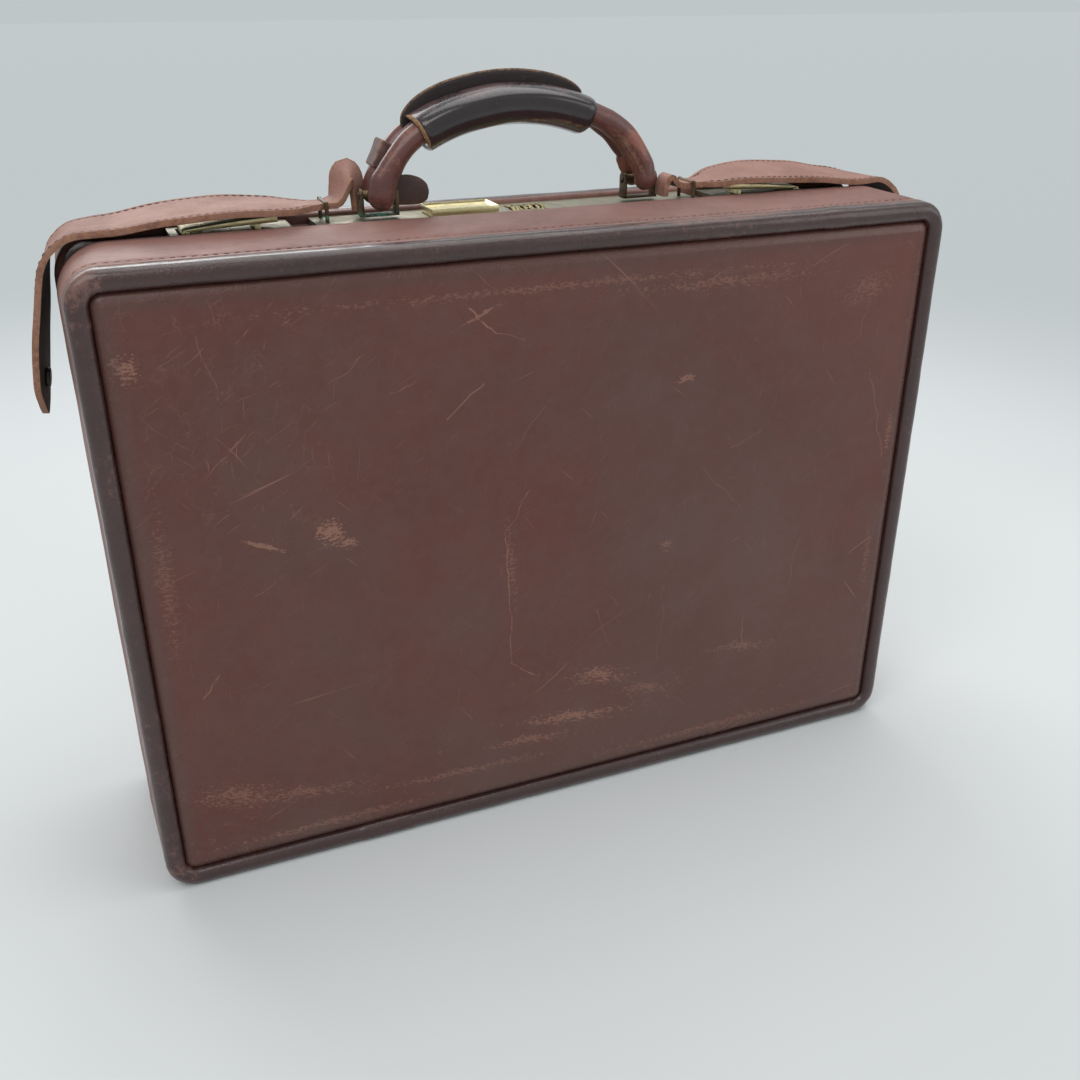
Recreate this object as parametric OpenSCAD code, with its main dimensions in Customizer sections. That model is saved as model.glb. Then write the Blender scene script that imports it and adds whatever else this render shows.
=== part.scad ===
// Leather briefcase with a two cord handle, side straps, lever latches and a number lock.
// Origin at the middle of the footprint, on the floor. X runs left to right, Y from front to back, Z up.

/* [Case] */
// Width across the edge rolls
case_w = 456; // [420:1:500]
// Height of the shells from the floor
case_h = 332; // [300:1:370]
// Depth from the front roll to the rear roll
case_d = 114; // [104:1:130]
// Depth of the front shell, from its roll to the parting line
lid_d = 55; // [48:1:60]
// Width of the recessed metal strip between the shells
strip_w = 32; // [30:1:36]
// Corner radius of the edge rolls
corner_r = 16; // [14:1:22]
// How far the bands flare out towards the parting line
flare = 2; // [0:0.5:3]
// Leather and padding over the boards
skin_t = 5; // [4:0.5:6]
// Thickness of the shell boards
board_t = 5; // [4:0.5:7]

/* [Panels and rolls] */
// Width of the edge roll, seen from the front
roll_w = 10.5; // [9:0.5:14]
// Depth of the edge roll
roll_d = 10; // [8:0.5:14]
// Rounding of the edge roll
roll_r = 6; // [4:0.5:7]
// Thickness of the bead behind the roll
bead_d = 2; // [1.6:0.1:2.4]
// Depth of the groove between roll and panel
groove = 5; // [4:0.5:6]
// How far the padded panel swells out of the groove
swell = 2.6; // [1:0.1:3]
// Thickness of the panel board
panel_board_t = 4; // [3:0.5:4.5]
// Thickness of the lining
lining_t = 1; // [0.8:0.1:1.5]
// Height of the document pocket
pocket_h = 220; // [150:1:260]
// Thickness of the flat document pocket
pocket_t = 3; // [2:0.5:4]

/* [Hinges] */
// Height of the hinge line above the floor
hinge_z = 2.9; // [2.8:0.1:3.2]
// Radius of the hinge knuckles
knuckle_r = 2.4; // [2:0.1:2.6]
// Radius of the hinge pins
hinge_pin_r = 1.1; // [0.9:0.1:1.3]
// Length of one hinge
hinge_len = 60; // [40:1:90]
// Distance between the two hinges
hinge_gap = 280; // [200:1:320]
// Length of the hinge leaves
leaf_len = 13; // [9:1:16]
// Distance from the hinge line to each stay pivot, and length of each stay arm
stay_arm = 112; // [90:1:130]
// Distance of the stay pivots from the parting line
stay_off = 14; // [11:1:18]
// Width of a stay arm
stay_w = 8; // [7:0.5:10]
// Thickness of a stay arm
stay_t = 1.2; // [1:0.1:1.6]
// Radius of the stay rivets
rivet_r = 1.8; // [1.4:0.1:2.2]

/* [Lock] */
// Thickness of the lock and latch plates
plate_t = 3; // [2.5:0.5:4]
// Length of the lock plate
lock_plate_w = 212; // [206:1:220]
// Middle of the sliding button at rest
button_x = -30; // [-34:1:-26]
// Length of the sliding button
button_w = 36; // [30:1:40]
// Depth of the sliding button
button_d = 20; // [16:1:22]
// Height of the sliding button over the plate
button_h = 4.2; // [3:0.1:6]
// Travel of the sliding button
button_travel = 8; // [4:1:9]
// Radius of a number dial
dial_r = 10; // [9:0.5:12]
// Width of a number dial
dial_w = 5; // [4:0.5:6]
// Spacing of the number dials
dial_pitch = 7; // [6.6:0.1:8]
// How far the dials stand out of the plate
dial_up = 1.6; // [1:0.1:2.5]
// Middle of the three dials
dials_x = 7; // [4:1:12]
// Radius of the dial axle
axle_r = 2; // [1.5:0.1:2.5]
// Wall of the lock housing
housing_wall = 1.2; // [1:0.1:2]
// Running clearance of round fits
fit = 0.05; // [0.03:0.01:0.08]

/* [Latches] */
// Distance of the latch pivots from the middle of the case
latch_x = 169; // [165:1:175]
// Length of a latch lever from its pivot
lever_len = 43; // [38:1:48]
// Width of a latch lever
lever_w = 20; // [14:1:22]
// Thickness of a latch lever
lever_t = 1.6; // [1.2:0.1:2]
// Angle at which the levers stand open at rest
lever_rest = 2.5; // [2:0.1:3]

/* [Handle] */
// Distance of the handle roots from the middle
root_x = 73; // [70:1:76]
// Height of the handle pivots over the lock plate
root_h = 12; // [12:0.5:14]
// Radius of the rolled leather cords
cord_r = 5.4; // [4.5:0.1:5.8]
// Distance of each cord from the middle of the strip
cord_off = 7.7; // [7.6:0.1:9]
// Radius of the cross bars in the handle roots
bar_r = 2; // [1.5:0.1:2.2]
// Rise of the handle from its pivots to the middle of the grip
grip_rise = 42.5; // [38:0.5:50]
// Bow radius of the grip
grip_bow = 111; // [100:1:140]
// Length of the grip sleeve along the bow
grip_len = 92; // [80:1:100]
// How far the grip sleeve sits off the middle
grip_shift = -5; // [-8:1:0]
// Leather thickness of the grip sleeve
grip_wall = 1.9; // [1.5:0.1:2.5]
// Height of the open flap over the middle of the grip
flap_rise = 14; // [12:0.5:18]

/* [Straps] */
// Full width of a strap
strap_w = 40; // [34:1:44]
// Thickness of a strap
strap_t = 3.2; // [2.4:0.1:3.4]
// Radius of the snaps on the strap ends
snap_r = 6; // [5:0.5:8]
// Height of the side studs
stud_h = 4; // [3:0.5:5]

/* [Hidden] */
$fn = 48;
corner_steps = 8;
lid_gap = 0.4;
parting_y = lid_d - case_d/2;
lid_back = parting_y - lid_gap/2;
base_front = parting_y + lid_gap/2;
strip_back = parting_y + strip_w;
mid_y = parting_y + strip_w/2;
shell_y = case_d/2 - roll_d;
inner_off = skin_t + board_t;
wall_x = case_w/2 - inner_off;
part_r = corner_r + 9;
valance_drop = 3.5;
skin_lift = 0.6;
seat_z = case_h - valance_drop;
plate_top = seat_z + plate_t;
pivot_z = plate_top + root_h;
play = 0.3;

// Helper shapes

function arc_pts(cx, cz, r, a0) =
    [for (k = [0:corner_steps]) let (a = a0 + 90*k/corner_steps) [cx + r*cos(a), cz + r*sin(a)]];

// Rounded outline of the case, out by o at the top and sides and with its bottom at height b
function outline(o, b, r) =
    let (x = case_w/2 + o - r, t = case_h + o - r)
    concat(arc_pts(x, t, r, 0), arc_pts(-x, t, r, 90), arc_pts(-x, b + r, r, 180),
        arc_pts(x, b + r, r, 270));

// Sweeps a profile of [offset, bottom height, corner radius, y] round the case
module ring(profile) {
    m = len(profile);
    loops = [for (p = profile) outline(p[0], p[1], p[2])];
    n = len(loops[0]);
    points = [for (i = [0:n - 1], j = [0:m - 1]) [loops[j][i][0], profile[j][3], loops[j][i][1]]];
    faces = [for (i = [0:n - 1], j = [0:m - 1], k = [0, 1])
        let (a = i*m + j, b = ((i + 1)%n)*m + j, c = ((i + 1)%n)*m + (j + 1)%m, d = i*m + (j + 1)%m)
        k == 0 ? [a, b, c] : [a, c, d]];
    polyhedron(points, faces);
}

// Closed skin through a row of loops with as many points each, with flat ends
module loft(loops) {
    n = len(loops[0]);
    m = len(loops);
    points = [for (l = loops, p = l) p];
    sides = [for (i = [0:m - 2], j = [0:n - 1], k = [0, 1])
        let (a = i*n + j, b = i*n + (j + 1)%n, c = (i + 1)*n + (j + 1)%n, d = (i + 1)*n + j)
        k == 0 ? [a, c, b] : [a, d, c]];
    first = [for (j = [0:n - 1]) j];
    last = [for (j = [n - 1:-1:0]) (m - 1)*n + j];
    polyhedron(points, concat(sides, [first], [last]));
}

function blend(a, b, c, d, t) =
    0.5*(2*b + (c - a)*t + (2*a - 5*b + 4*c - d)*t*t + (3*b - a - 3*c + d)*t*t*t);

// Smooth run of stations through hand chosen ones
function smooth(s, steps) = let (n = len(s)) concat(
    [for (i = [0:n - 2], k = [0:steps - 1])
        let (a = i > 0 ? s[i - 1] : 2*s[0] - s[1], d = i < n - 2 ? s[i + 2] : 2*s[n - 1] - s[n - 2])
        blend(a, s[i], s[i + 1], d, k/steps)],
    [s[n - 1]]);

function unit(v) = v/norm(v);

// Direction of a run of [x, z, ...] stations at station i
function heading(s, i) = let (n = len(s), a = s[max(i - 1, 0)], b = s[min(i + 1, n - 1)])
    unit([b[0] - a[0], b[1] - a[1]]);

// Extrudes a front view shape from y0 back to y1
module slab(y0, y1) {
    translate([0, y1, 0]) rotate([90, 0, 0]) linear_extrude(y1 - y0) children();
}

module round_rect(x0, z0, x1, z1, r) {
    translate([x0 + r, z0]) square([x1 - x0 - 2*r, z1 - z0]);
    translate([x0, z0 + r]) square([x1 - x0, z1 - z0 - 2*r]);
    for (x = [x0 + r, x1 - r], z = [z0 + r, z1 - r]) translate([x, z]) circle(r);
}

// Front view outline of the case, drawn in by o on all sides
module inset(o, r) {
    round_rect(-case_w/2 + o, o, case_w/2 - o, case_h - o, r);
}

module box(lo, hi) {
    translate(lo) cube(hi - lo);
}

// Round bar along X between two ends
module bar_x(x0, x1, y, z, r) {
    translate([x0, y, z]) rotate([0, 90, 0]) cylinder(h = x1 - x0, r = r);
}

// Round bar along Y between two ends
module bar_y(y0, y1, x, z, r) {
    translate([x, y1, z]) rotate([90, 0, 0]) cylinder(h = y1 - y0, r = r);
}

module both_sides() {
    children();
    mirror([1, 0, 0]) children();
}

// Turns a front shell piece into the rear one
module rear() {
    mirror([0, 1, 0]) children();
}

// Shells

// Padded leather panel, swelling out of its groove
module panel_skin() {
    edge_y = -case_d/2 + groove;
    steps = [[0, 0], [2, 0.45], [6, 0.75], [14, 0.92], [30, 1]];
    back_y = -shell_y - panel_board_t;
    loops = concat(
        [panel_loop(0, back_y)],
        [for (s = steps) panel_loop(s[0], edge_y - swell*s[1])]);
    color("#5a2c26") loft(loops);
}

function panel_loop(in, y) = [for (p = outline(-roll_w - in, roll_w + in,
    max(corner_r - roll_w, 4))) [p[0], y, p[1]]];

module panel_board() {
    color("#b08a5a") slab(-shell_y - panel_board_t, -shell_y)
        inset(roll_w, max(corner_r - roll_w, 4));
}

module edge_roll() {
    front = -case_d/2;
    in_r = max(corner_r - roll_w, 4);
    crown = [for (a = [0:15:90]) let (o = -roll_r + roll_r*sin(a)) [o, -o, corner_r + o,
        front + roll_r - roll_r*cos(a)]];
    color("#3a1c1a") ring(concat(crown, [
        [0, 0, corner_r, -shell_y],
        [-roll_w, roll_w, in_r, -shell_y],
        [-roll_w, roll_w, in_r, front + 2],
        [-roll_w + 1.5, roll_w - 1.5, in_r + 1.5, front + 0.6]]));
}

module bead() {
    r = bead_d/2;
    mid = -r + 0.1;
    color("#43201d") ring([for (a = [-90:45:225]) let (o = mid + r*cos(a)) [o, -o + 0.2, corner_r + o,
        -shell_y + r + r*sin(a)]]);
}

// Leather band from the bead to the edge at the given y
module band_skin(edge_y) {
    start = -shell_y + bead_d;
    in_r = corner_r - skin_t;
    color("#6b3832") ring([
        [0, skin_lift, corner_r, start],
        [flare, skin_lift, part_r, edge_y],
        [-skin_t, skin_t, in_r, edge_y],
        [-skin_t, skin_t, in_r, start]]);
}

// Gap that keeps the boards off the leather
board_gap = 0.08;

module board_ring(y0, y1) {
    slab(y0, y1) difference() {
        inset(skin_t + board_gap, corner_r - skin_t - board_gap);
        inset(inner_off, corner_r - inner_off);
    }
}

cut_x = case_w/2 - corner_r;
cut_far = 60;

// Mitred share of the board ring on one side: "top", "bottom", "left" or "right"
module shell_board(side, y0, y1) {
    hi = case_h - corner_r;
    top = [[-cut_x, hi], [cut_x, hi], [cut_x + cut_far, hi + cut_far], [-cut_x - cut_far, hi + cut_far]];
    bottom = [for (p = top) [p[0], case_h - p[1]]];
    left = [[-cut_x, corner_r], [-cut_x, hi], [-cut_x - cut_far, hi + cut_far],
        [-cut_x - cut_far, corner_r - cut_far]];
    right = [for (p = left) [-p[0], p[1]]];
    area = side == "top" ? top : side == "bottom" ? bottom : side == "left" ? left : right;
    color("#b08a5a") intersection() {
        board_ring(y0, y1);
        slab(y0 - 1, y1 + 1) polygon(area);
    }
}

// Lining tray between the boards
module lining(y0, y1) {
    r = corner_r - inner_off;
    color("#c9b79a") {
        slab(y0, y0 + lining_t) inset(inner_off, r);
        slab(y0 + lining_t, y1) difference() {
            inset(inner_off, r);
            inset(inner_off + lining_t, r - lining_t);
        }
    }
}

// How far the hinge pins stand out of the knuckles
pin_out = 0.5;

// Space round the knuckles, cut out of both shells
module knuckle_space() {
    for (s = [-1, 1]) {
        x = s*hinge_gap/2;
        r = knuckle_r + play;
        box([x - hinge_len/2 - pin_out - play, parting_y - r, -1],
            [x + hinge_len/2 + pin_out + play, parting_y + r, hinge_z + r]);
    }
}

// Space for the front hinge leaves under the boards
module leaf_space() {
    for (s = [-1, 1]) {
        x = s*hinge_gap/2;
        box([x - hinge_len/2 - play, parting_y - leaf_len - play, leaf_z0 - 0.1],
            [x + hinge_len/2 + play, parting_y, leaf_z1 + 0.1]);
    }
}

leaf_z0 = hinge_z - 0.6;
leaf_z1 = valance_drop;

module lid_panel() { panel_skin(); }
module lid_panel_board() { panel_board(); }
module lid_roll() { edge_roll(); }
module lid_bead() { bead(); }

module lid_band() {
    difference() {
        band_skin(lid_back);
        knuckle_space();
        leaf_space();
    }
}

module lid_board_top() { shell_board("top", -shell_y, lid_back); }
module lid_board_left() { shell_board("left", -shell_y, lid_back); }
module lid_board_right() { shell_board("right", -shell_y, lid_back); }

module lid_board_bottom() {
    color("#b08a5a") difference() {
        shell_board("bottom", -shell_y, lid_back);
        knuckle_space();
    }
}

module lid_lining() { lining(-shell_y, lid_back - 0.3); }

module document_pocket() {
    margin = inner_off + 12;
    color("#8a5a48") slab(-shell_y + lining_t, -shell_y + lining_t + pocket_t)
        round_rect(-case_w/2 + margin, margin, case_w/2 - margin, margin + pocket_h, 8);
}

module base_panel() { rear() panel_skin(); }
module base_panel_board() { rear() panel_board(); }
module base_roll() { rear() edge_roll(); }
module base_bead() { rear() bead(); }
module base_band() { rear() band_skin(-strip_back); }

// Opening through the top of the base for the lock housing
module lock_space() {
    box([housing_x0 - play, mid_y - housing_d/2 - play, case_h - inner_off - 2],
        [housing_x1 + play, mid_y + housing_d/2 + play, seat_z + 1]);
}

// Slots through the top of the base for the latch pegs
module peg_space() {
    both_sides() box([peg_x - 1, mid_y - peg_w/2 - 1, case_h - inner_off - 2],
        [peg_x + peg_t + 1, mid_y + peg_w/2 + 1, plate_top + 1]);
}

module base_board_top() {
    color("#b08a5a") difference() {
        shell_board("top", base_front, shell_y);
        lock_space();
        peg_space();
    }
}

module base_board_bottom() {
    color("#b08a5a") difference() {
        shell_board("bottom", base_front, shell_y);
        knuckle_space();
    }
}

module base_board_left() { shell_board("left", base_front, shell_y); }
module base_board_right() { shell_board("right", base_front, shell_y); }

module base_lining() {
    color("#c9b79a") difference() {
        rear() lining(-shell_y, -base_front - 0.3);
        lock_space();
        peg_space();
    }
}

// Metal strip round the mouth of the base
module valance() {
    color("#b59a55") difference() {
        slab(base_front, strip_back) difference() {
            inset(valance_drop, corner_r - valance_drop);
            inset(skin_t, corner_r - skin_t);
        }
        knuckle_space();
        lock_space();
        peg_space();
    }
}

// Hinges and stays

knuckles = 5;

// Every second knuckle of both hinges, from the given one on
module knuckle_row(first) {
    step = hinge_len/knuckles;
    for (s = [-1, 1], i = [first:2:knuckles - 1]) {
        x = s*hinge_gap/2 - hinge_len/2 + i*step;
        difference() {
            bar_x(x + play/2, x + step - play/2, parting_y, hinge_z, knuckle_r);
            bar_x(x - 1, x + step + 1, parting_y, hinge_z, hinge_pin_r + fit);
        }
    }
}

// Leaves that run from the knuckles to y1, along with the webs that join them
module leaf_row(first, y1) {
    step = hinge_len/knuckles;
    side = sign(y1 - parting_y);
    root = parting_y + side*(knuckle_r + play + 0.2);
    for (s = [-1, 1]) {
        x = s*hinge_gap/2 - hinge_len/2;
        box([x, min(root, y1), leaf_z0], [x + hinge_len, max(root, y1), leaf_z1]);
        for (i = [first:2:knuckles - 1]) {
            web = parting_y + side*(knuckle_r - 0.4);
            box([x + i*step + play/2, min(root, web), leaf_z0],
                [x + (i + 1)*step - play/2, max(root, web), leaf_z1]);
        }
    }
}

module lid_hinge_leaves() {
    color("#a08848") {
        knuckle_row(1);
        leaf_row(1, parting_y - leaf_len);
    }
}

module base_hinge_leaves() {
    color("#a08848") {
        knuckle_row(0);
        leaf_row(0, parting_y + leaf_len);
    }
}

module hinge_pins() {
    color("#8f8f88") for (s = [-1, 1])
        bar_x(s*hinge_gap/2 - hinge_len/2 - pin_out, s*hinge_gap/2 + hinge_len/2 + pin_out,
            parting_y, hinge_z, hinge_pin_r);
}

// Stay geometry in the closed case: pivots on base and lid, joint where both arms meet
stay_z = hinge_z + sqrt(stay_arm*stay_arm - stay_off*stay_off);
joint_z = 2*stay_z - hinge_z;
stay_face = wall_x - lining_t;
boss_t = 1.5;
base_arm_x = stay_face - boss_t - stay_t;
lid_arm_x = base_arm_x - play - stay_t;
rivet_fit = 0.08;

// One stay arm along the wall, from pivot a to the meeting joint, both as [y, z]
module stay_arm_flat(x, a, b, end_hole) {
    along = b - a;
    turn = atan2(along[1], along[0]);
    difference() {
        union() {
            translate([x, a[0], a[1]]) rotate([turn, 0, 0]) translate([0, 0, -stay_w*0.4])
                cube([stay_t, norm(along), stay_w*0.8]);
            bar_x(x, x + stay_t, a[0], a[1], stay_w/2);
            bar_x(x, x + stay_t, b[0], b[1], stay_w/2);
        }
        bar_x(x - 1, x + stay_t + 1, a[0], a[1], rivet_r + rivet_fit);
        if (end_hole > 0) bar_x(x - 1, x + stay_t + 1, b[0], b[1], end_hole);
    }
}

// Arms on the base pivots; each carries the rivet of the open joint
module stay_arms_base() {
    color("#9a9a94") both_sides() {
        stay_arm_flat(base_arm_x, [parting_y + stay_off, stay_z], [parting_y, joint_z], 0);
        bar_x(lid_arm_x - 1, base_arm_x + stay_t/2, parting_y, joint_z, rivet_r);
    }
}

// Arms on the lid pivots, with a wide hole round the open joint's rivet
module stay_arms_lid() {
    color("#9a9a94") both_sides()
        stay_arm_flat(lid_arm_x, [parting_y - stay_off, stay_z], [parting_y, joint_z], rivet_r + play);
}

// Boss and rivet on both side walls, from the wall in past the arm at arm_x
module stay_pivots(y, arm_x) {
    both_sides() {
        bar_x(arm_x + stay_t + 0.1, stay_face, y, stay_z, stay_w/2);
        bar_x(arm_x - 0.3, arm_x + stay_t + 0.1, y, stay_z, rivet_r);
        bar_x(arm_x - 1.1, arm_x - 0.3, y, stay_z, rivet_r + 1);
    }
}

module lid_stay_pivots() { color("#9a9a94") stay_pivots(parting_y - stay_off, lid_arm_x); }
module base_stay_pivots() { color("#9a9a94") stay_pivots(parting_y + stay_off, base_arm_x); }

// Lock

housing_d = 2*(dial_r + housing_wall + 0.5);
housing_x0 = -84;
housing_x1 = dials_x + dial_pitch + dial_w/2 + 8;
dial_z = plate_top + dial_up - dial_r;
housing_z0 = dial_z - dial_r - 2.2;
stem_w = 10;
stem_d = 6;
bolt_z0 = seat_z - 8;
bolt_z1 = seat_z - 4;
bolt_d = 10;

// Round slot through the plate, from x0 to x1
module plate_slot(x0, x1, d) {
    box([x0, mid_y - d/2, seat_z - 1], [x1, mid_y + d/2, plate_top + 1]);
}

module lock_plate() {
    color("#b8a05c") difference() {
        box([-lock_plate_w/2, base_front + 0.2, seat_z], [lock_plate_w/2, strip_back - 0.2, plate_top]);
        plate_slot(button_x - stem_w/2 - button_travel - play, button_x + stem_w/2 + play,
            stem_d + 2*play);
        for (i = [-1:1]) {
            x = dials_x + i*dial_pitch;
            plate_slot(x - dial_w/2 - play, x + dial_w/2 + play, 2*dial_r);
        }
    }
}

module lock_housing() {
    rib = 2;
    color("#9a9a94") difference() {
        union() {
            difference() {
                box([housing_x0, mid_y - housing_d/2, housing_z0],
                    [housing_x1, mid_y + housing_d/2, seat_z]);
                box([housing_x0 + housing_wall, mid_y - housing_d/2 + housing_wall,
                    housing_z0 + housing_wall],
                    [housing_x1 - housing_wall, mid_y + housing_d/2 - housing_wall, seat_z + 1]);
            }
            for (x = [dials_x - dial_pitch - dial_w/2 - play - rib,
                dials_x + dial_pitch + dial_w/2 + play])
                box([x, mid_y - housing_d/2, housing_z0],
                    [x + rib, mid_y + housing_d/2, dial_z + axle_r + 2]);
        }
        bar_x(dials_x - 30, dials_x + 30, mid_y, dial_z, axle_r);
    }
}

module dial_axle() {
    half = dial_pitch + dial_w/2 + play + 2;
    color("#8f8f88") bar_x(dials_x - half, dials_x + half, mid_y, dial_z, axle_r);
}

module dial(i) {
    x = dials_x + i*dial_pitch;
    color("#c8b273") difference() {
        bar_x(x - dial_w/2, x + dial_w/2, mid_y, dial_z, dial_r);
        bar_x(x - dial_w, x + dial_w, mid_y, dial_z, axle_r + fit);
    }
}

module dial_1() { dial(-1); }
module dial_2() { dial(0); }
module dial_3() { dial(1); }

// Tray shaped sliding button
module lock_button() {
    rim = 1.6;
    z0 = plate_top + 0.2;
    z1 = z0 + button_h;
    color("#cdb878") difference() {
        box([button_x - button_w/2, mid_y - button_d/2, z0],
            [button_x + button_w/2, mid_y + button_d/2, z1]);
        box([button_x - button_w/2 + rim, mid_y - button_d/2 + rim, z1 - 1.2],
            [button_x + button_w/2 - rim, mid_y + button_d/2 - rim, z1 + 1]);
    }
}

// Bolt under the plate, with the stem that reaches up to the button
module lock_bolt() {
    color("#8f8f88") {
        box([button_x - stem_w/2, mid_y - stem_d/2, bolt_z1],
            [button_x + stem_w/2, mid_y + stem_d/2, plate_top + 0.2]);
        box([bolt_x0, mid_y - bolt_d/2, bolt_z0], [button_x + button_w/2, mid_y + bolt_d/2, bolt_z1]);
    }
}

bolt_x0 = button_x - 36;

module lock_spring() {
    r = 3;
    z = (bolt_z0 + bolt_z1)/2;
    color("#8f8f88") difference() {
        bar_x(housing_x0 + housing_wall, bolt_x0 - button_travel - play, mid_y, z, r);
        bar_x(housing_x0, bolt_x0, mid_y, z, r - 0.8);
    }
}

// Latches

peg_x = latch_x - 36;
peg_t = 3;
peg_w = 10;
peg_bite = 1.2;
lever_pivot_z = plate_top - 0.5;
lever_z0 = plate_top + 0.3;
latch_pin_r = 1;
lever_eye_r = 1.9;
ear_w = 2;
strike_z1 = case_h - inner_off - 2;
strike_z0 = strike_z1 - 2;

module latch_plates() {
    half = lever_w/2 + play + ear_w;
    color("#b8a05c") both_sides() difference() {
        union() {
            box([latch_x - lever_len - 8, base_front + 0.2, seat_z],
                [latch_x + 7, strip_back - 0.2, plate_top]);
            bar_y(mid_y - half, mid_y + half, latch_x, lever_pivot_z, lever_eye_r);
        }
        box([latch_x - 3, mid_y - lever_w/2 - play, seat_z + 0.2],
            [latch_x + 3, mid_y + lever_w/2 + play, plate_top + 5]);
        box([peg_x - 1, mid_y - peg_w/2 - 1, seat_z - 1],
            [peg_x + peg_t + 1, mid_y + peg_w/2 + 1, plate_top + 1]);
        box([latch_x - 22, mid_y - 3, plate_top - 0.5], [latch_x - 8, mid_y + 3, plate_top + 1]);
        bar_y(mid_y - half - 1, mid_y + half + 1, latch_x, lever_pivot_z, latch_pin_r);
    }
}

module latch_pins() {
    half = lever_w/2 + play + ear_w;
    color("#8f8f88") both_sides() bar_y(mid_y - half, mid_y + half, latch_x, lever_pivot_z, latch_pin_r);
}

module latch_springs() {
    color("#8f8f88") both_sides()
        box([latch_x - 21.5, mid_y - 2.5, plate_top - 0.5], [latch_x - 8.5, mid_y + 2.5, plate_top]);
}

// Lever with its eye and peg, standing open by the rest angle
module latch_lever() {
    color("#c8b273") translate([latch_x, mid_y, lever_pivot_z]) rotate([0, lever_rest, 0])
        translate([-latch_x, -mid_y, -lever_pivot_z]) difference() {
            union() {
                bar_y(mid_y - lever_w/2, mid_y + lever_w/2, latch_x, lever_pivot_z, lever_eye_r);
                box([latch_x - lever_len, mid_y - lever_w/2, lever_z0],
                    [latch_x, mid_y + lever_w/2, lever_z0 + lever_t]);
                box([latch_x - lever_len - 0.8, mid_y - lever_w/2, lever_z0 - 0.2],
                    [latch_x - lever_len + 1, mid_y + lever_w/2, lever_z0 + lever_t + 0.4]);
                box([peg_x, mid_y - peg_w/2, strike_z1 - peg_bite],
                    [peg_x + peg_t, mid_y + peg_w/2, lever_z0]);
            }
            bar_y(mid_y - lever_w, mid_y + lever_w, latch_x, lever_pivot_z, latch_pin_r + fit);
        }
}

module right_latch_lever() { latch_lever(); }
module left_latch_lever() { mirror([1, 0, 0]) latch_lever(); }

// Catches on the lid that reach under the base's top board, with windows for the pegs
module lid_strikes() {
    reach = mid_y + peg_w/2 + 4;
    color("#9a9a94") both_sides() difference() {
        union() {
            box([peg_x - 5, parting_y - 18, strike_z0], [peg_x + peg_t + 5, reach, strike_z1]);
            box([peg_x - 5, parting_y - 18, strike_z1 - 0.1],
                [peg_x + peg_t + 5, parting_y - 3, case_h - inner_off - lining_t]);
        }
        box([peg_x - 1.5, mid_y - peg_w/2 - 1.5, strike_z0 - 1],
            [peg_x + peg_t + 1.5, mid_y + peg_w/2 + 1.5, strike_z1 + 1]);
    }
}

// Handle

post_t = 2;
post_w = 6;
post_off = 9;
loop_r = 6;
loop_w = 2*cord_r - 0.4;

// Two uprights on a foot under each handle root
module handle_posts() {
    color("#b8a05c") both_sides() difference() {
        union() {
            box([root_x - post_off - post_t/2, mid_y - post_w/2, plate_top],
                [root_x + post_off + post_t/2, mid_y + post_w/2, plate_top + 1.2]);
            for (s = [-1, 1]) {
                x = root_x + s*post_off;
                box([x - post_t/2, mid_y - post_w/2, plate_top],
                    [x + post_t/2, mid_y + post_w/2, pivot_z]);
                bar_x(x - post_t/2, x + post_t/2, mid_y, pivot_z, post_w/2);
            }
        }
        bar_x(root_x - 20, root_x + 20, mid_y, pivot_z, bar_r + fit);
    }
}

// Crossed bars in both roots: the long one turns in the posts, the short one carries the cords
module handle_trunnions() {
    color("#b8a05c") both_sides() {
        bar_x(root_x - post_off - 1.6, root_x + post_off + 1.6, mid_y, pivot_z, bar_r);
        bar_y(mid_y - cord_off - loop_w/2 - 0.8, mid_y + cord_off + loop_w/2 + 0.8, root_x, pivot_z,
            bar_r);
    }
}

grip_z = pivot_z + grip_rise;
bow_z = grip_z - grip_bow;

// Middle line of the handle over x in the grip, as a circle
function bow(x) = bow_z + sqrt(grip_bow*grip_bow - x*x);

// Right half of a cord: along the bow, then down to the root
half_cord = concat(
    [for (x = [0, 15, 30, 43]) [x, bow(x)]],
    smooth([[50, bow(50)], [59.5, pivot_z + 23.5], [root_x - 6, pivot_z + 14],
        [root_x - 1.6, pivot_z + 6.5],
        [root_x, pivot_z]], 4));
cord_run = concat([for (i = [len(half_cord) - 1:-1:1]) [-half_cord[i][0], half_cord[i][1]]], half_cord);

function round_section(s, i, y, r_side, r_up, sides) =
    let (h = heading(s, i), n = [-h[1], h[0]])
    [for (k = [0:sides - 1]) let (a = 360*k/sides)
        [s[i][0] + n[0]*r_up*sin(a), y + r_side*cos(a), s[i][1] + n[1]*r_up*sin(a)]];

module cord_skin(y, r) {
    loft([for (i = [0:len(cord_run) - 1]) round_section(cord_run, i, y, r, r, 12)]);
}

// Rolled leather cord with a loop round each root's cross bar
module cord(y) {
    color("#5e2a27") difference() {
        union() {
            cord_skin(y, cord_r);
            for (s = [-1, 1]) bar_y(y - loop_w/2, y + loop_w/2, s*root_x, pivot_z, loop_r);
        }
        for (s = [-1, 1]) bar_y(y - 9, y + 9, s*root_x, pivot_z, bar_r);
    }
}

module front_cord() { cord(mid_y - cord_off); }
module rear_cord() { cord(mid_y + cord_off); }

grip_line = [for (k = [0:10]) let (x = grip_shift - grip_len/2 + k*grip_len/10) [x, bow(x)]];

// Leather sleeve round both cords
module grip_sleeve() {
    side = cord_off + cord_r + grip_wall;
    up = cord_r + grip_wall;
    color("#2b2022") difference() {
        loft([for (i = [0:10]) round_section(grip_line, i, mid_y, side, up, 24)]);
        for (s = [-1, 1]) cord_skin(mid_y + s*cord_off, cord_r + 0.05);
    }
}

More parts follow.
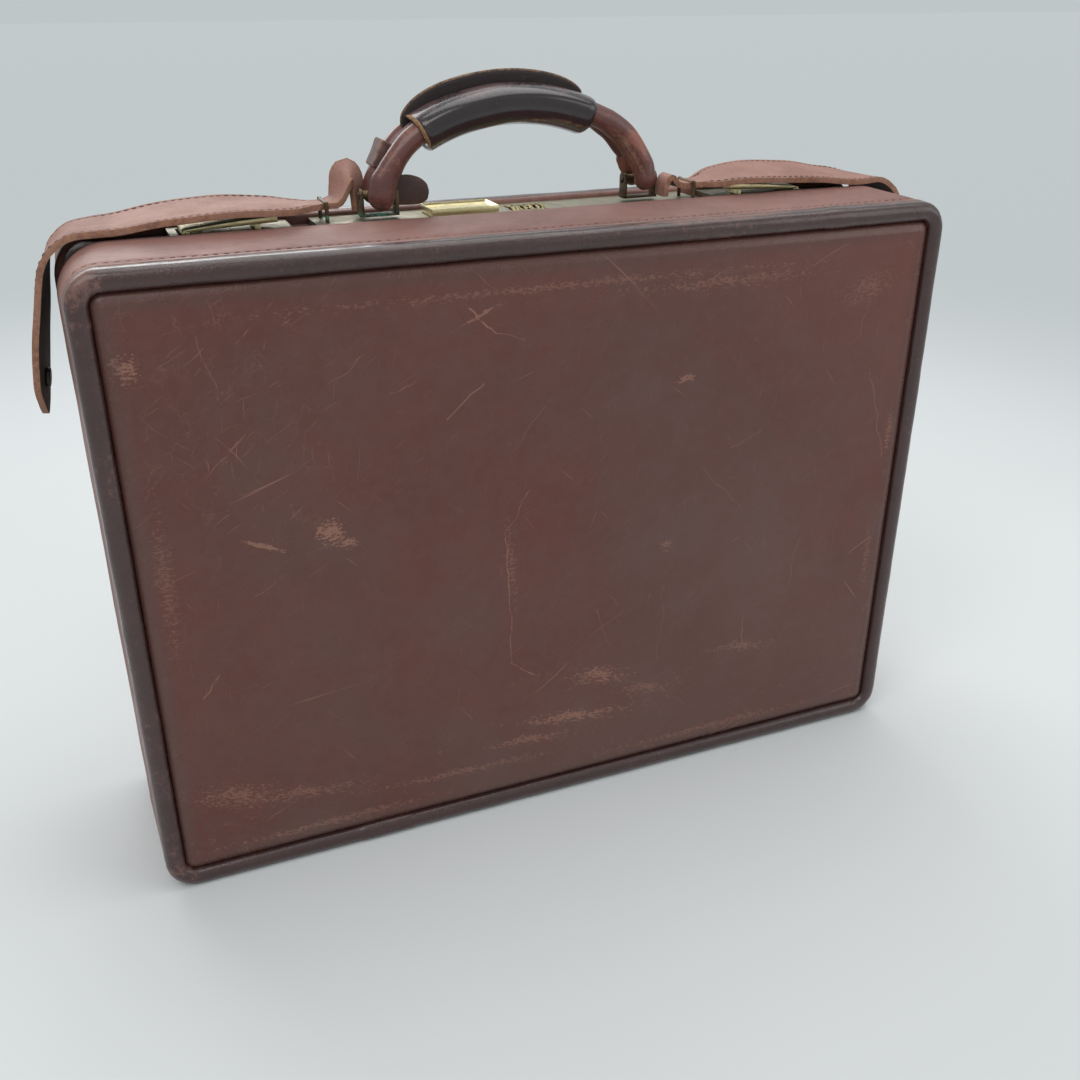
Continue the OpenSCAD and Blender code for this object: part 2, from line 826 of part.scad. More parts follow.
// Free edge of the sleeve, standing up along its back
module grip_flap() {
    y0 = mid_y + cord_off - 1;
    t = 2.4;
    low = cord_r + grip_wall;
    share = [0.55, 0.85, 1, 1, 1, 1, 1, 1, 1, 0.85, 0.6];
    color("#33292b") loft([for (i = [0:10])
        let (top = low + (flap_rise - low)*share[i])
        [flap_point(i, y0 - 4, low + 0.1), flap_point(i, y0 + 1, top),
            flap_point(i, y0 + 1 + t, top - 1), flap_point(i, y0 + t + 2, low - 1.8)]]);
}

// Point at height h over the grip's middle line, square to the bow
function flap_point(i, y, h) = let (d = heading(grip_line, i), p = grip_line[i]) [p[0] - d[1]*h, y,
    p[1] + d[0]*h];

keeper_i = 11;
keeper_len = 14;

// Box shaped leather keeper on the rear cord, beside the left root
module cord_keeper() {
    p = half_cord[keeper_i];
    d = heading(half_cord, keeper_i);
    w = cord_r + 1.8;
    color("#6a3a34") mirror([1, 0, 0]) difference() {
        translate([p[0], mid_y + cord_off, p[1]]) rotate([0, -atan2(d[0], -d[1]), 0])
            translate([-w, -w + 0.6, -keeper_len/2]) cube([2*w, 2*w, keeper_len]);
        cord_skin(mid_y + cord_off, cord_r + play);
    }
}

// Straps

strap_hinge = [root_x + 33.2, plate_top + 6.3];
side_x = case_w/2;
end_hinge = [side_x + 6.2, plate_top - 17];
neck_w = 13;
neck_x = root_x + 9.4;
staple_x = root_x + 27;
staple_w = neck_w + 3;
wire_r = 1;

// Leather strip through stations of [x, z, width, tilt, y offset, thickness share], on the right side
module strip(stations) {
    h = strap_t/2;
    bevel = 0.7;
    loft([for (i = [0:len(stations) - 1])
        let (s = stations[i], d = heading(stations, i), n = [-d[1], 0, d[0]],
            up = [n[0], -sin(s[3]), n[2]],
            across = [n[0]*sin(s[3]), cos(s[3]), n[2]*sin(s[3])],
                lift = [n[0]*cos(s[3]), -sin(s[3]), n[2]*cos(s[3])],
            w = s[2]/2, c = [s[0], mid_y + s[4], s[1]], t = h*s[5])
        [for (q = [[w, t - bevel*s[5]], [w - bevel, t], [bevel - w, t], [-w, t - bevel*s[5]],
                [-w, bevel*s[5] - t], [bevel - w, -t], [w - bevel, -t], [w, bevel*s[5] - t]])
            c + across*q[0] + lift*q[1]]]);
}

// Rounds a run of stations over at both ends
function rounded_ends(s) = let (n = len(s), a = -heading(s, 0), b = heading(s, n - 1),
    r = strap_t/2 - 0.1)
    concat(
        [for (t = [85, 55, 25]) end_station(s[0], a, r*sin(t), cos(t))],
        [for (p = s) concat(p, [1])],
        [for (t = [25, 55, 85]) end_station(s[n - 1], b, r*sin(t), cos(t))]);

function end_station(s, dir, out, share) = [s[0] + dir[0]*out, s[1] + dir[1]*out, s[2], s[3], s[4],
    share];

// Stations of [x, z, width, tilt, y offset] from the neck over the latch and round the corner
function strap_line(neck_off) = smooth([
    [strap_hinge[0] + 1.8, strap_hinge[1] + 0.1, 18, 0, neck_off*0.5],
    [strap_hinge[0] + 9.8, plate_top + 6.8, strap_w*0.72, 1, neck_off*0.25],
    [strap_hinge[0] + 21.8, plate_top + 8.3, strap_w*0.95, 2, 0],
    [latch_x - 19, plate_top + 9.2, strap_w, 3, 0],
    [latch_x + 9, plate_top + 8.9, strap_w, 4, 0],
    [side_x - 30, plate_top + 7, strap_w, 3, 0],
    [side_x - 19, plate_top + 5.5, strap_w, 1, 0],
    [side_x - 8, plate_top + 3.2, strap_w, -2, 0],
    [side_x + 0.4, plate_top - 3.2, strap_w, -4, 0],
    [side_x + 4.4, plate_top - 10, strap_w, -6, 0],
    [end_hinge[0] - 0.4, end_hinge[1] + 1.8, strap_w, -7, 0]], 3);

end_drop = 82;
tip_out = 16.3;

// Stations of the strap's end, down the side from its hinge
end_line = concat(
    smooth([
        [end_hinge[0] + 0.4, end_hinge[1] - 1.8, strap_w, -7, 0],
        [side_x + 8.6, plate_top - end_drop*0.36, strap_w, -8, 0],
        [side_x + 11.6, plate_top - end_drop*0.54, strap_w, -8, 0],
        [side_x + 14.6, plate_top - end_drop*0.78, strap_w*0.92, -8, 0]], 3),
    [[side_x + tip_out - 0.9, plate_top - end_drop*0.87, strap_w*0.7, -8, 0],
        [side_x + tip_out - 0.3, plate_top - end_drop*0.95, strap_w*0.4, -8, 0],
        [side_x + tip_out, plate_top - end_drop, strap_w*0.15, -8, 0]]);

module right_strap() { color("#7c4a42") strip(rounded_ends(strap_line(-cord_off))); }
module left_strap() { color("#7c4a42") mirror([1, 0, 0]) strip(rounded_ends(strap_line(cord_off))); }
module right_strap_end() { color("#7c4a42") strip(rounded_ends(end_line)); }
module left_strap_end() { color("#7c4a42") mirror([1, 0, 0]) strip(rounded_ends(end_line)); }

// Necks that leave the roots, pass the staples and meet the straps
module strap_necks() {
    out = strap_hinge[0] - 1.8;
    z = strap_hinge[1];
    side = cord_off + 2.4;
    foot = [neck_x, plate_top + strap_t/2 + 0.2];
    low = [[foot[0], foot[1], 10, 0, -side], [neck_x + 0.3, pivot_z - 2.5, 10.4, 0, -side],
        [neck_x + 3.4, pivot_z + 1.2, 11, 0, -side], [neck_x + 8, z + 1.4, 12, 0, -cord_off],
        [staple_x - 5, z, neck_w, 0, -cord_off*0.8], [staple_x, z, neck_w, 0, -cord_off*0.7],
        [out, z, 16, 0, -cord_off*0.6]];
    hump = [[foot[0], foot[1], 10, 0, side], [neck_x + 0.2, pivot_z + 2.5, 10.6, 0, side],
        [neck_x + 2.6, pivot_z + 9.6, 11.4, 0, side], [neck_x + 7, pivot_z + 10.4, 12.4, 0, cord_off + 1],
        [neck_x + 11.4, pivot_z + 3, 12.6, 0, cord_off*0.9],
        [neck_x + 15, z + 1.2, neck_w, 0, cord_off*0.75], [staple_x + 1, z, neck_w, 0, cord_off*0.7],
        [out, z, 16, 0, cord_off*0.6]];
    color("#7c4a42") {
        strip(rounded_ends(smooth(low, 3)));
        mirror([1, 0, 0]) strip(rounded_ends(smooth(hump, 3)));
    }
}

// Wire staples that hold the necks down
module strap_staples() {
    color("#b8a05c") for (s = [-1, 1]) {
        y = mid_y - s*cord_off*0.7;
        z = strap_hinge[1] + strap_t/2 + 0.3 + wire_r;
        bar_y(y - staple_w/2, y + staple_w/2, s*staple_x, z, wire_r);
        for (e = [-1, 1]) translate([s*staple_x, y + e*staple_w/2,
            plate_top]) cylinder(h = z - plate_top + wire_r, r = wire_r);
    }
}

snap_i = 9;
snap_p = end_line[snap_i];
snap_z = snap_p[1];

// Snap: cap outside, socket inside, square to the strap's end
module strap_snap() {
    d = heading(end_line, snap_i);
    gap = strap_t/2 + play;
    color("#3a3330") translate([snap_p[0], mid_y, snap_z]) rotate([0, 0, -snap_p[3]])
        rotate([0, 90 - atan2(d[0], -d[1]), 0]) {
            translate([0, 0, gap]) cylinder(h = 1.4, r = snap_r);
            translate([0, 0, -gap - 2]) cylinder(h = 2, r = snap_r - 1);
        }
}

module strap_snap_right() { strap_snap(); }
module strap_snap_left() { mirror([1, 0, 0]) strap_snap(); }

// Studs on the metal strip that the snaps close on
module side_studs() {
    face = case_w/2 - valance_drop;
    color("#b8a05c") both_sides() {
        bar_x(face, face + stud_h, mid_y, snap_z, snap_r/2);
        bar_x(face, face + 1, mid_y, snap_z, snap_r);
    }
}

lid_panel();
lid_panel_board();
lid_roll();
lid_bead();
lid_band();
lid_board_top();
lid_board_bottom();
lid_board_left();
lid_board_right();
lid_lining();
document_pocket();
lid_strikes();
lid_hinge_leaves();
lid_stay_pivots();
stay_arms_lid();
base_panel();
base_panel_board();
base_roll();
base_bead();
base_band();
base_board_top();
base_board_bottom();
base_board_left();
base_board_right();
base_lining();
valance();
base_hinge_leaves();
hinge_pins();
base_stay_pivots();
stay_arms_base();
lock_plate();
lock_housing();
dial_axle();
dial_1();
dial_2();
dial_3();
lock_button();
lock_bolt();
lock_spring();
latch_plates();
latch_pins();
latch_springs();
left_latch_lever();
right_latch_lever();
handle_posts();
strap_staples();
side_studs();
strap_necks();
handle_trunnions();
front_cord();
rear_cord();
grip_sleeve();
grip_flap();
cord_keeper();
left_strap();
left_strap_end();
right_strap();
right_strap_end();
strap_snap_left();
strap_snap_right();
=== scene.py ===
"""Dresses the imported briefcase: modelled leather, stitching and metal, with procedural materials."""

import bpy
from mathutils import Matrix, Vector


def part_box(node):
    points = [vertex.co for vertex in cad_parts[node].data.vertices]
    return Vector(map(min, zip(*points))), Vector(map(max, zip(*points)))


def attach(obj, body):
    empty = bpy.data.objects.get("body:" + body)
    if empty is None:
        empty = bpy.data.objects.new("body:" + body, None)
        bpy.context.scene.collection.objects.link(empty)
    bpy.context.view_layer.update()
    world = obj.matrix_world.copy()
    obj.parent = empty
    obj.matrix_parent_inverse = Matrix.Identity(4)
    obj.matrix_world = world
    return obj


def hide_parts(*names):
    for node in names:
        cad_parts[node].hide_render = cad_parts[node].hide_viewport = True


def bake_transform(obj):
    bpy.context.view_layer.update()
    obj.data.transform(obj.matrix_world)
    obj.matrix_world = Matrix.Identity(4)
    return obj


bl_info = {
    "name": "Hard Leather Briefcase",
    "version": (1, 0, 0),
    "blender": (4, 5, 0),
    "location": "3D View > Sidebar > Briefcase",
    "description": "Models the leather, stitching and fittings of a hard briefcase around its frame",
    "category": "Object",
}

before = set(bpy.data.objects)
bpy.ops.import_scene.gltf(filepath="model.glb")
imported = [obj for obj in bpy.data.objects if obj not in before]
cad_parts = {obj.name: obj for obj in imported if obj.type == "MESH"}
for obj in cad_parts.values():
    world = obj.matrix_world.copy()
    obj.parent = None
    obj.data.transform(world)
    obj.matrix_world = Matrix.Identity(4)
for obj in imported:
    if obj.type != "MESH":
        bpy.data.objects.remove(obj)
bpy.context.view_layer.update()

import math
import random

import bmesh
import bpy
from bpy.props import FloatProperty, FloatVectorProperty, IntProperty, PointerProperty
from mathutils import Matrix, Vector, noise

MM = 0.001


def lo(node):
    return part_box(node)[0]


def hi(node):
    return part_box(node)[1]


# Sizes that come from the frame, in metres
CASE_X = hi("lid_roll").x
CASE_Z = hi("lid_roll").z
CASE_Y = hi("base_roll").y
LID_BACK = hi("lid_band").y
BASE_FRONT = lo("base_band").y
BEAD_W = hi("lid_bead").y - lo("lid_bead").y
PLATE_TOP = hi("latch_plates").z
MID_Y = (lo("lock_plate").y + hi("lock_plate").y) / 2
PIVOT_Z = (lo("handle_trunnions").z + hi("handle_trunnions").z) / 2


def length(name, description, value, low, high):
    return FloatProperty(name=name, description=description, default=value, min=low, max=high, unit="LENGTH")


def tint(name, description, *value):
    return FloatVectorProperty(name=name, description=description, subtype="COLOR", default=value, min=0,
                               max=1)


class BriefcaseSizes(bpy.types.PropertyGroup):
    """Sizes of the details that the frame leaves to the looks"""

    corner: length("Corner radius", "Radius of the case's corners", 0.016, 0.01, 0.02)
    roll_w: length("Roll width", "Width of the padded edge roll", 0.0105, 0.008, 0.013)
    roll_d: length("Roll depth", "Depth of the padded edge roll", 0.010, 0.008, 0.012)
    swell: length("Panel swell", "How far the padded panel swells out", 0.0036, 0.001, 0.0045)
    stitch_pitch: length("Stitch pitch", "Distance from stitch to stitch", 0.0046, 0.002, 0.006)
    thread_r: length("Thread radius", "Radius of the sewing thread", 0.00032, 0.0002, 0.0006)
    strap_t: length("Strap thickness", "Thickness of the strap leather", 0.0030, 0.002, 0.0032)
    dial_marks: IntProperty(name="Dial places", description="Places round each number dial",
                            default=10, min=6, max=12)


class BriefcaseColours(bpy.types.PropertyGroup):
    """Base colours of the finishes"""

    panel: tint("Panel leather", "Dull burgundy of the panels", 0.122, 0.034, 0.025)
    panel_grey: tint("Panel patina", "Grey brown patina in the panels", 0.098, 0.054, 0.045)
    roll: tint("Roll leather", "Dark polished leather of the rolls", 0.050, 0.021, 0.019)
    band: tint("Band leather", "Pinkish brown leather of the bands", 0.228, 0.108, 0.088)
    strap: tint("Strap leather", "Pinkish brown leather of the straps", 0.30, 0.150, 0.115)
    grip: tint("Grip leather", "Dark leather of the grip sleeve", 0.022, 0.014, 0.016)
    rubbed: tint("Rubbed leather", "Tan core that shows where leather is rubbed", 0.33, 0.165, 0.115)
    brass: tint("Brass", "Pale smudged brass", 0.72, 0.63, 0.36)
    floor: tint("Floor", "Plain pale floor", 0.64, 0.66, 0.66)


def sizes():
    return bpy.context.scene.briefcase_sizes


def colours():
    return bpy.context.scene.briefcase_colours


# Words for the two sides of the case and its two shells


def hand(side):
    return "right" if side > 0 else "left"


def shell(side):
    return "base" if side > 0 else "lid"


# Tools for modelling by operators


def deselect():
    if bpy.context.object and bpy.context.object.mode != "OBJECT":
        bpy.ops.object.mode_set(mode="OBJECT")
    bpy.ops.object.select_all(action="DESELECT")


def pick(obj):
    deselect()
    obj.select_set(True)
    bpy.context.view_layer.objects.active = obj
    return obj


def added(name):
    """The primitive that was just added, named."""
    obj = bpy.context.object
    obj.name = name
    obj.data.name = name
    return obj


def apply_place(obj):
    pick(obj)
    bpy.ops.object.transform_apply(location=True, rotation=True, scale=True)
    return obj


def modify(obj, kind, **settings):
    """Adds a modifier with these settings and applies it."""
    pick(obj)
    m = obj.modifiers.new(kind.title(), kind)
    for key, value in settings.items():
        setattr(m, key, value)
    bpy.ops.object.modifier_apply(modifier=m.name)
    return obj


def choose(obj, kind, test):
    """Selects the verts, edges or faces whose middle passes the test, in edit mode."""
    pick(obj)
    bpy.ops.object.mode_set(mode="EDIT")
    bpy.ops.mesh.select_mode(type=kind)
    bpy.ops.mesh.select_all(action="DESELECT")
    mesh = bmesh.from_edit_mesh(obj.data)
    for part in {"VERT": mesh.verts, "EDGE": mesh.edges, "FACE": mesh.faces}[kind]:
        part.select_set(bool(test(part)))
    bmesh.update_edit_mesh(obj.data)
    return mesh


def object_mode():
    bpy.ops.object.mode_set(mode="OBJECT")


def edit_all(obj):
    pick(obj)
    bpy.ops.object.mode_set(mode="EDIT")
    bpy.ops.mesh.select_all(action="SELECT")


def outwards(obj, weld=False):
    """Turns the normals outward; weld first joins points that lie together."""
    edit_all(obj)
    if weld:
        bpy.ops.mesh.remove_doubles(threshold=1e-6)
    bpy.ops.mesh.normals_make_consistent(inside=False)
    object_mode()
    return obj


def soften(obj, width, segments=3, angle=50):
    """Bevels the edges that are sharper than an angle in degrees."""
    return modify(obj, "BEVEL", width=width, segments=segments, limit_method="ANGLE",
                  angle_limit=math.radians(angle))


def subdivided(obj, cuts, test):
    """Cuts the edges that pass the test."""
    choose(obj, "EDGE", test)
    bpy.ops.mesh.subdivide(number_cuts=cuts)
    object_mode()


def smooth(obj, angle=40):
    pick(obj)
    bpy.ops.object.shade_smooth_by_angle(angle=math.radians(angle))
    return obj


def join(name, parts):
    """One object from several, at the origin."""
    deselect()
    for part in parts:
        part.select_set(True)
    bpy.context.view_layer.objects.active = parts[0]
    bpy.ops.object.join()
    obj = bpy.context.object
    obj.name = name
    obj.data.name = name
    return apply_place(obj)


def finish_piece(obj, body, material, replaced=(), angle=40):
    """Smooths a piece, gives it its material and slot, and lets it ride on its body."""
    smooth(obj, angle)
    obj.data.materials.clear()
    for m in (material if isinstance(material, (list, tuple)) else [material]):
        obj.data.materials.append(m)
    if body:
        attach(obj, body)
    if replaced:
        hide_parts(*replaced)
    return obj


def block(name, low, high, bevel=0.0, segments=2):
    """Box between two corners with its edges bevelled."""
    low, high = Vector(low), Vector(high)
    deselect()
    bpy.ops.mesh.primitive_cube_add(size=1, location=(low + high) / 2)
    obj = added(name)
    obj.scale = high - low
    apply_place(obj)
    if bevel:
        modify(obj, "BEVEL", width=bevel, segments=segments, limit_method="NONE")
    return obj


def rod(name, a, b, radius, verts=24, bevel=0.0):
    """Round bar between two points."""
    a, b = Vector(a), Vector(b)
    deselect()
    bpy.ops.mesh.primitive_cylinder_add(vertices=verts, radius=radius, depth=(b - a).length,
                                        location=(a + b) / 2)
    obj = added(name)
    obj.rotation_euler = (b - a).to_track_quat("Z", "Y").to_euler()
    apply_place(obj)
    if bevel:
        soften(obj, bevel, 2)
    return obj


def catmull(points, steps):
    """Smooth run of stations through given ones, as in the frame's source."""
    n = len(points)
    run = []
    for i in range(n - 1):
        b, c = points[i], points[i + 1]
        a = points[i - 1] if i > 0 else [2 * p - q for p, q in zip(b, c)]
        d = points[i + 2] if i < n - 2 else [2 * q - p for p, q in zip(b, c)]
        for k in range(steps):
            t = k / steps
            run.append([0.5 * (2 * q + (r - p) * t + (2 * p - 5 * q + 4 * r - s) * t * t
                               + (3 * q - p - 3 * r + s) * t ** 3)
                        for p, q, r, s in zip(a, b, c, d)])
    run.append(list(points[-1]))
    return run


def hash_noise(x, y, z, size):
    """Smooth noise from -1 to 1 at a place, with features of the given size."""
    return noise.noise(Vector((x / size, y / size, z / size)))


def noise_at(co, size):
    return hash_noise(co.x, co.y, co.z, size)


def unit(value):
    """The value kept between 0 and 1."""
    return max(0.0, min(1.0, value))


def peak(value, at, width):
    """1 where the value is at a place, falling evenly to 0 a width away from it."""
    return max(0.0, 1 - abs(value - at) / width)


def rounded(value, power):
    """The value's size to a power, with its sign."""
    return math.copysign(abs(value) ** power, value)


def shade(colour, by):
    return tuple(min(1.0, v * by) for v in colour)


# Shader effects, each built once as a node group


class Graph:
    """Lays shader nodes in a tree, wired by value or by socket."""

    def __init__(self, tree):
        self.tree = tree

    def put(self, socket, value):
        if isinstance(value, bpy.types.NodeSocket):
            self.tree.links.new(value, socket)
        elif value is not None:
            if socket.type == "RGBA" and len(value) == 3:
                value = (*value, 1)
            socket.default_value = value

    def node(self, kind, inputs=None, **settings):
        n = self.tree.nodes.new("ShaderNode" + kind)
        for key, value in settings.items():
            setattr(n, key, value)
        for key, value in (inputs or {}).items():
            self.put(n.inputs[key], value)
        return n

    def math(self, operation, a, b=None, c=None, clamp=False):
        return self.node("Math", {0: a, 1: b, 2: c}, operation=operation, use_clamp=clamp).outputs[0]

    def add(self, a, b):
        return self.math("ADD", a, b)

    def sub(self, a, b):
        return self.math("SUBTRACT", a, b)

    def mul(self, a, b):
        return self.math("MULTIPLY", a, b)

    def vector(self, operation, a, b=None, scale=None):
        n = self.node("VectorMath", {0: a, 1: b}, operation=operation)
        if scale is not None:
            self.put(n.inputs["Scale"], scale)
        return n.outputs["Value" if operation in ("LENGTH", "DISTANCE", "DOT_PRODUCT") else "Vector"]

    def mix(self, share, a, b):
        n = self.node("Mix", data_type="RGBA")
        for index, value in ((0, share), (6, a), (7, b)):
            self.put(n.inputs[index], value)
        return n.outputs[2]

    def blend(self, share, a, b):
        n = self.node("Mix", data_type="FLOAT")
        for index, value in ((0, share), (2, a), (3, b)):
            self.put(n.inputs[index], value)
        return n.outputs[0]

    def step(self, value, low, high, to_low=0.0, to_high=1.0):
        """Smooth step of a value from low to high."""
        return self.node("MapRange", {"Value": value, "From Min": low, "From Max": high,
                                      "To Min": to_low, "To Max": to_high},
                         interpolation_type="SMOOTHSTEP").outputs["Result"]

    def noise(self, place, scale, detail=3.0, rough=0.5, warp=0.0):
        return self.node("TexNoise", {"Vector": place, "Scale": scale, "Detail": detail,
                                      "Roughness": rough, "Distortion": warp}).outputs["Fac"]

    def cells(self, place, scale, feature="F1", randomness=1.0):
        return self.node("TexVoronoi", {"Vector": place, "Scale": scale, "Randomness": randomness},
                         feature=feature).outputs["Distance"]

    def warped(self, place, scale, detail, by, rough=0.5):
        """The place, pushed about by coloured noise."""
        drift = self.node("TexNoise", {"Vector": place, "Scale": scale, "Detail": detail,
                                       "Roughness": rough})
        return self.vector("ADD", place, self.vector("SCALE", drift.outputs["Color"], scale=by))

    def spun(self, place, angle):
        return self.node("VectorRotate", {"Vector": place, "Angle": angle, "Axis": (0, 1, 0)},
                         rotation_type="AXIS_ANGLE").outputs["Vector"]

    def turned(self, place, turn, stretch, shift=(0, 0, 0)):
        return self.node("Mapping", {"Vector": place, "Location": shift, "Rotation": turn,
                                     "Scale": stretch}).outputs["Vector"]

    def use(self, group, **inputs):
        n = self.tree.nodes.new("ShaderNodeGroup")
        n.node_tree = group
        for key, value in inputs.items():
            self.put(n.inputs[key.replace("_", " ")], value)
        return n.outputs


def effect(name, inputs, outputs, build):
    """A node group with named inputs and outputs; build(graph, inputs, scaled place) gives the outputs."""
    if name in bpy.data.node_groups:
        return bpy.data.node_groups[name]
    tree = bpy.data.node_groups.new(name, "ShaderNodeTree")
    for key, value in inputs.items():
        kind = "NodeSocketVector" if value is None or isinstance(value, tuple) else "NodeSocketFloat"
        socket = tree.interface.new_socket(name=key, in_out="INPUT", socket_type=kind)
        if value is not None:
            socket.default_value = value
    for key in outputs:
        tree.interface.new_socket(name=key, in_out="OUTPUT", socket_type="NodeSocketFloat")
    g = Graph(tree)
    source = tree.nodes.new("NodeGroupInput")
    sink = tree.nodes.new("NodeGroupOutput")
    given = source.outputs
    place = g.vector("SCALE", given["Place"], scale=given["Scale"]) if "Scale" in inputs else given["Place"]
    for key, value in build(g, given, place).items():
        tree.links.new(value, sink.inputs[key])
    return tree


def leather_grain():
    """Pebbled grain with fine pores and soft creases, as a height."""

    def build(g, i, place):
        bent = g.warped(place, 0.35, 2.0, 1.4)
        pebble = g.step(g.cells(bent, 1.0), 0.15, 0.75, 1.0, 0.0)
        gap = g.step(g.cells(bent, 1.0, "DISTANCE_TO_EDGE"), 0.0, 0.14)
        pore = g.noise(place, 3.2, 4.0, 0.65)
        wave = g.noise(place, 0.11, 3.0, 0.6)
        low = g.mul(g.add(g.mul(pebble, 0.4), gap), 0.5)
        both = g.add(g.mul(low, g.step(wave, 0.3, 0.7, 0.25, 1.0)), g.mul(pore, 0.35))
        return {"Height": g.add(both, g.mul(wave, 1.6))}

    return effect("Leather grain", {"Place": None, "Scale": 900.0}, ["Height"], build)


def patina():
    """Cloudy and blotchy variation from 0 to 1."""

    def build(g, i, place):
        broad = g.noise(place, 1.0, 4.0, 0.55, 0.4)
        blotch = g.noise(place, 4.3, 5.0, 0.62, 0.2)
        fine = g.noise(place, 19.0, 4.0, 0.6)
        total = g.add(g.mul(broad, 0.55), g.add(g.mul(blotch, 0.3), g.mul(fine, 0.15)))
        return {"Mask": g.step(total, 0.36, 0.64), "Fine": g.step(fine, 0.35, 0.65)}

    return effect("Patina", {"Place": None, "Scale": 8.0}, ["Mask", "Fine"], build)


def scratches():
    """Sparse hairline scratches that run about one way, from 0 to 1."""

    def build(g, i, place):
        spun = g.spun(g.warped(place, 0.9, 1.0, 0.35), i["Turn"])
        streak = g.noise(g.turned(spun, (0, 0, 0), (0.8, 1.0, 34.0)), 1.0, 2.0, 0.5)
        line = g.step(streak, g.sub(0.80, g.mul(i["Amount"], 0.12)),
                      g.sub(0.83, g.mul(i["Amount"], 0.12)))
        patch = g.step(g.noise(place, 1.6, 2.0), 0.45, 0.6)
        return {"Mask": g.mul(line, patch)}

    return effect("Scratches", {"Place": None, "Scale": 14.0, "Turn": 0.0, "Amount": 0.5}, ["Mask"], build)


def crack_web():
    """Web of fine creases, from 0 to 1."""

    def build(g, i, place):
        bent = g.warped(place, 1.1, 4.0, 1.1, 0.6)
        edge = g.cells(bent, 1.0, "DISTANCE_TO_EDGE")
        width = g.mul(g.noise(place, 2.2, 3.0), 0.05)
        line = g.sub(1.0, g.step(edge, 0.0, width))
        part = g.step(g.noise(place, 0.8, 3.0), 0.46, 0.58)
        return {"Mask": g.mul(line, part)}

    return effect("Crack web", {"Place": None, "Scale": 60.0}, ["Mask"], build)


def rub_mark():
    """A ragged rubbed patch at a place on the panel, from 0 to 1."""

    def build(g, i, place):
        spun = g.spun(g.vector("SUBTRACT", place, i["Centre"]), i["Turn"])
        unit = g.vector("DIVIDE", spun, i["Size"])
        far = g.vector("LENGTH", unit)
        ragged = g.noise(g.turned(spun, (0, 0, 0), (420, 420, 900)), 1.0, 4.0, 0.7)
        reach = g.sub(g.sub(1.0, far), g.mul(g.sub(ragged, 0.42), i["Ragged"]))
        return {"Mask": g.mul(g.step(reach, 0.0, 0.35), i["Amount"])}

    return effect("Rub mark", {"Place": None, "Centre": (0.0, 0.0, 0.0), "Size": (0.01, 1.0, 0.01),
                               "Turn": 0.0, "Ragged": 4.0, "Amount": 1.0}, ["Mask"], build)


def weave():
    """Plain weave of a lining cloth: height and thread mask."""

    def build(g, i, place):
        parts = g.node("SeparateXYZ", {"Vector": place}).outputs
        across = g.add(parts["X"], g.mul(parts["Y"], 0.5))
        down = g.add(parts["Z"], g.mul(parts["Y"], 0.5))
        warp = g.math("SINE", across)
        weft = g.math("SINE", down)
        height = g.add(g.mul(warp, weft), g.mul(g.noise(place, 0.4), 0.8))
        return {"Height": height, "Mask": g.step(height, -0.4, 1.2)}

    return effect("Weave", {"Place": None, "Scale": 4200.0}, ["Height", "Mask"], build)


def tarnish():
    """Smudges and spots on brass, from 0 to 1."""

    def build(g, i, place):
        cloud = g.step(g.noise(place, 1.0, 5.0, 0.6, 0.6), 0.42, 0.68)
        spots = g.step(g.noise(place, 7.0, 3.0, 0.7), 0.60, 0.72)
        return {"Cloud": cloud, "Spots": spots}

    return effect("Tarnish", {"Place": None, "Scale": 60.0}, ["Cloud", "Spots"], build)


# Materials


def new_material(name):
    mat = bpy.data.materials.new(name)
    mat.use_nodes = True
    tree = mat.node_tree
    tree.nodes.clear()
    out = tree.nodes.new("ShaderNodeOutputMaterial")
    shader = tree.nodes.new("ShaderNodeBsdfPrincipled")
    tree.links.new(shader.outputs["BSDF"], out.inputs["Surface"])
    g = Graph(tree)
    return mat, g, shader, g.node("TexCoord").outputs["Object"]


def set_look(g, shader, colour=None, rough=None, metal=None, height=None, bump=0.3, depth=0.0004, **fixed):
    for key, value in (("Base Color", colour), ("Roughness", rough), ("Metallic", metal)):
        if value is not None:
            g.put(shader.inputs[key], value)
    for key, value in fixed.items():
        shader.inputs[key.replace("_", " ")].default_value = value
    if height is not None:
        g.put(shader.inputs["Normal"], g.node("Bump", {"Height": height, "Strength": bump,
                                                       "Distance": depth}).outputs["Normal"])


def attribute(g, name):
    return g.node("Attribute", attribute_name=name).outputs["Fac"]


def largest(g, masks):
    total = masks[0]
    for m in masks[1:]:
        total = g.math("MAXIMUM", total, m)
    return total


def hairlines(g, place, sets):
    """Scratches of several (scale, turn, amount) sets together."""
    return largest(g, [g.use(scratches(), Place=place, Scale=scale, Turn=turn, Amount=amount)["Mask"]
                       for scale, turn, amount in sets])


